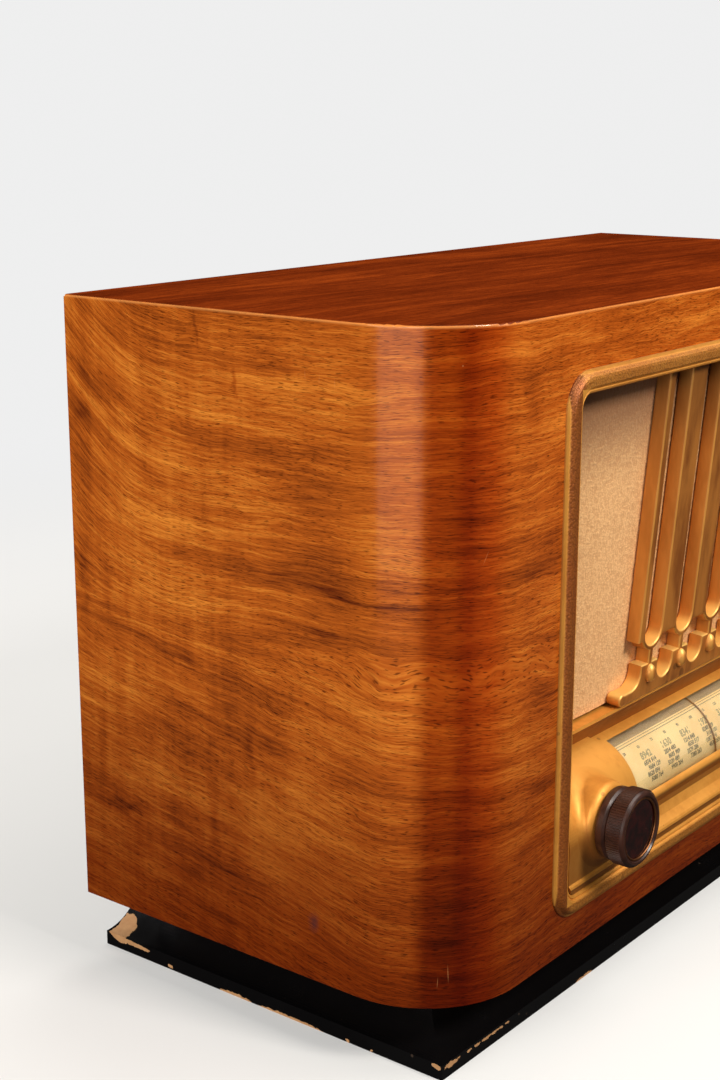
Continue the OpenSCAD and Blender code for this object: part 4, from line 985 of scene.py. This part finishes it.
SHAFT_X = 0.1327
SHAFT_Z = 0.1005
KNOB_FRONT = FRONT_Y - 0.025
CAP_FRONT = FRONT_Y - 0.0025
CAP_R = 0.0367
BARREL_IN = 0.0342
SIDES = 96
BOSS_R = 0.0208
BOSS_ROUND = 0.004
BOSS_H = 0.005
RING_R = 0.0161
RING_TUBE = 0.0006
RING_SINK = 0.0011
SWEEP_RISE = 0.0038
SWEEP_BEND = 0.0014
SWEEP_OUT = 0.0046


def circle(x, reach, y, turn):
    """A point round a shaft, at a distance from it and an angle in radians."""
    return (x + reach * math.cos(turn), y, SHAFT_Z + reach * math.sin(turn))


def loft(name, rows, finish, body):
    """A band of quads through rows of points that go round."""
    sides = len(rows[0])
    points = [p for row in rows for p in row]
    faces = []
    for start in range(0, sides * (len(rows) - 1), sides):
        for k in range(sides):
            a, b = start + k, start + (k + 1) % sides
            faces.append((a, b, b + sides, a + sides))
    new_piece(name, mesh_of(name, points, faces, True), finish, body)


def make_knob_ring(name, x, body):
    """Thin bronze ring round the inlay in a knob's face."""
    rows = []
    for i in range(9):
        roll = 2 * math.pi * i / 8
        reach = RING_R + RING_TUBE * math.cos(roll)
        y = KNOB_FRONT + RING_SINK - RING_TUBE * math.sin(roll)
        rows.append([circle(x, reach, y, 2 * math.pi * k / SIDES) for k in range(SIDES)])
    loft(name, rows, "knob_bronze", body)


def cap_face(reach, turn):
    """Depth of the end cap's surface at a distance and angle from the shaft."""
    over = SHAFT_Z - DIAL_Z + reach * math.sin(turn)
    if over <= 0:
        return CAP_FRONT
    return FRONT_Y + BARREL_IN - math.sqrt(CAP_R ** 2 - over ** 2)


def make_boss_fillet(name, side):
    """Hollow sweep that blends a shaft's boss into the end cap."""
    rows = []
    steps = 12
    bend_r, out_r = BOSS_R + SWEEP_BEND, BOSS_R + SWEEP_OUT
    round_y = CAP_FRONT - BOSS_H + BOSS_ROUND
    for i in range(steps + 1):
        t = i / steps
        weights = ((1 - t) ** 3, 3 * t * (1 - t) ** 2, 3 * t * t * (1 - t), t ** 3)
        row = []
        for k in range(SIDES):
            turn = 2 * math.pi * k / SIDES
            base = cap_face(BOSS_R, turn)
            sink = min(max((round_y - base + SWEEP_RISE) / BOSS_ROUND, 0.0), 1.0)
            start_r = BOSS_R - BOSS_ROUND + BOSS_ROUND * math.sqrt(1 - sink * sink) - 0.00004
            ends = ((start_r, base - SWEEP_RISE), (BOSS_R + 0.0002, base - 0.0016),
                    (bend_r, cap_face(bend_r, turn) - 0.0003), (out_r, cap_face(out_r, turn) + 0.00005))
            reach = sum(w * p[0] for w, p in zip(weights, ends))
            y = sum(w * p[1] for w, p in zip(weights, ends))
            row.append(circle(side * SHAFT_X, reach, y, turn))
        rows.append(row)
    loft(name, rows, "gold", "receiver")


make_knob_ring("tuning_knob_ring", SHAFT_X, "tuning_knob")
make_knob_ring("volume_knob_ring", -SHAFT_X, "volume_knob")
make_boss_fillet("left_boss_fillet", -1)
make_boss_fillet("right_boss_fillet", 1)


# Printing on the dial, in metres along it and degrees round its barrel

PRINT_R = SCALE_R + 0.00006
PRINT_HALF = 0.0895
SHADOW_BAND_HALF = 0.0965
RULES = (120.5, 123.4)
RULE_WIDE = 0.45
TICKS = 96
TICK_FOOT = 123.8
TICK_HALF = 0.00007
TENS = 12
TENS_START = 0.0052
TENS_PITCH = 0.01495
TENS_ANGLE = 132.0
TENS_SIZE = 0.0024
COLUMNS = 7
COLUMN_START = 0.0176
COLUMN_PITCH = 0.0226
HEADING_ANGLE = 144.5
HEADING_SIZE = 0.0056
ROW_ANGLES = (151.0, 157.0, 163.0, 169.0)
ROW_SHIFT = 0.0026
ROW_SIZE = 0.0034
SLANT = 0.12


def dial_point(x, angle):
    turn = math.radians(angle)
    return (x, DIAL_Y + PRINT_R * math.cos(turn), DIAL_Z + PRINT_R * math.sin(turn))


def band_faces(points, faces, x0, x1, a0, a1, steps):
    """A printed bar bent round the scale."""
    start = len(points)
    for i in range(steps + 1):
        angle = a0 + (a1 - a0) * i / steps
        points += [dial_point(x0, angle), dial_point(x1, angle)]
    faces += [(k, k + 1, k + 3, k + 2) for k in range(start, start + 2 * steps, 2)]


def add_number(points, faces, words, x, angle, size, slant, bold):
    """A short number bent round the scale; bold is how far its strokes are thickened."""
    curve = bpy.data.curves.new("number", "FONT")
    curve.body = words
    curve.size = size
    curve.shear = slant
    curve.offset = bold
    curve.resolution_u = 2
    flat, parts = curve_shape(curve)
    start = len(points)
    points += [dial_point(x + across, angle - math.degrees(up / SCALE_R)) for across, up, out in flat]
    faces += [tuple(start + k for k in part) for part in parts]


def make_dial_print():
    """Made-up plain numbers in columns, with a fine division above them and a grey band of painted shadow
    at the top.
    """
    random.seed(5)
    fine, pale, dark, band = ([], []), ([], []), ([], []), ([], [])
    for angle in RULES:
        band_faces(*fine, -PRINT_HALF, PRINT_HALF, angle, angle + RULE_WIDE, 1)
    for i in range(TICKS + 1):
        x = -PRINT_HALF + 2 * PRINT_HALF * i / TICKS
        deep = 2.6 if i % 8 == 0 else 1.3
        band_faces(*fine, x - TICK_HALF, x + TICK_HALF, TICK_FOOT, TICK_FOOT + deep, 1)
    for i in range(TENS):
        x = -PRINT_HALF + TENS_START + TENS_PITCH * i
        add_number(*dark, str(50 + 10 * i), x, TENS_ANGLE, TENS_SIZE, 0.0, 0.00007)
    for column in range(COLUMNS):
        x = -PRINT_HALF + COLUMN_START + COLUMN_PITCH * column
        heading = str(random.randint(10, 99)) + str(random.randint(10, 99))
        add_number(*pale, heading, x, HEADING_ANGLE, HEADING_SIZE, SLANT, 0.00016)
        for row, angle in enumerate(ROW_ANGLES):
            number = str(random.randint(1000, 9999)) + " " + str(random.randint(100, 999))
            add_number(*dark, number, x + ROW_SHIFT * (row % 2), angle, ROW_SIZE, SLANT, 0.00012)
    # Band of painted shadow under the ledge at the dial's top
    band_faces(*band, -SHADOW_BAND_HALF, SHADOW_BAND_HALF, 104.0, 118.5, 8)
    prints = (("dial_division", fine, "fine_ink"), ("dial_pale_numbers", pale, "pale_ink"),
              ("dial_numbers", dark, "ink"), ("dial_top_shadow_band", band, "painted_shadow_grey"))
    for name, shape, finish in prints:
        new_piece(name, mesh_of(name, *shape), finish, "receiver")


make_dial_print()


# Floor, background and lights

BACKDROP = 0.86
FLOOR_BOUNCE = 0.04


def make_stage():
    """Pale paper that keeps the shadow, darker to the rays that it sends back up, and a plain sky."""
    mesh = mesh_of("floor", [(-9, -9, 0), (9, -9, 0), (9, 9, 0), (-9, 9, 0)], [(0, 1, 2, 3)])
    floor = put_in_scene("floor", mesh)
    material, g, shader = new_material("floor_paper", Roughness=0.9)
    x, y, z = g.split(g.place())
    cloud = g.noise(g.place(), 6.0, 3.0, 0.5)
    g.put(shader["Base Color"], g.mix(cloud, (0.74, 0.74, 0.73, 1), (0.78, 0.78, 0.77, 1)))
    rays = g.add("ShaderNodeLightPath").outputs
    far = g.root_of_squares(x, y)
    pale = g.times(g.span(g.smooth(far, 0.35, 1.5), 0.0, 1.0, 0.35, 1.0), rays["Is Camera Ray"])
    glow = g.made("ShaderNodeEmission", {"Color": (BACKDROP, BACKDROP, BACKDROP, 1)})
    dim = g.made("ShaderNodeBsdfDiffuse", {"Color": (FLOOR_BOUNCE, FLOOR_BOUNCE, FLOOR_BOUNCE, 1)})
    lit = g.blend(rays["Is Camera Ray"], dim, g.tree.nodes["Principled BSDF"].outputs[0])
    g.put(g.tree.nodes["Material Output"].inputs["Surface"], g.blend(pale, lit, glow))
    mesh.materials.append(material)
    world = bpy.data.worlds.new("studio")
    bpy.context.scene.world = world
    world.use_nodes = True
    world.node_tree.nodes.clear()
    g = Graph(world.node_tree)
    rays = g.add("ShaderNodeLightPath").outputs
    soft = g.sky((1.0, 0.96, 0.90, 1), 0.15)
    dark = g.sky((1.0, 0.97, 0.93, 1), 0.05)
    pale = g.sky((BACKDROP, BACKDROP, BACKDROP, 1), 1.0)
    seen = g.larger(rays["Is Camera Ray"], rays["Is Transmission Ray"])
    both = g.blend(seen, g.blend(rays["Is Glossy Ray"], soft, dark), pale)
    g.put(g.add("ShaderNodeOutputWorld").inputs["Surface"], both)


def area_light(name, at, target, width, height, watts, color=(1, 1, 1)):
    data = bpy.data.lights.new(name, "AREA")
    data.shape = "RECTANGLE"
    data.size = width
    data.size_y = height
    data.energy = watts
    data.color = color
    light = put_in_scene(name, data)
    light.location = at
    light.rotation_euler = (Vector(target) - Vector(at)).to_track_quat("-Z", "Y").to_euler()


make_stage()
area_light("overhead", (0.7, -0.2, 1.9), (0.0, -0.05, 0.2), 2.4, 1.4, 38, (1.0, 0.96, 0.90))
area_light("left_softbox", (-1.95, -0.30, 0.85), (-0.2, 0.0, 0.2), 1.6, 1.3, 34, (1.0, 0.95, 0.87))
area_light("corner_glow", (-1.15, -0.20, 0.25), (-0.26, -0.07, 0.25), 0.75, 0.5, 1.5)
area_light("front_key", (-0.10, -1.50, 1.45), (0.0, -0.1, 0.2), 0.45, 0.45, 31, (1.0, 0.95, 0.88))
area_light("rear_fill", (-0.4, 2.3, 1.1), (0.0, 0.1, 0.2), 1.4, 1.0, 14)

bpy.context.scene.view_settings.view_transform = "Standard"
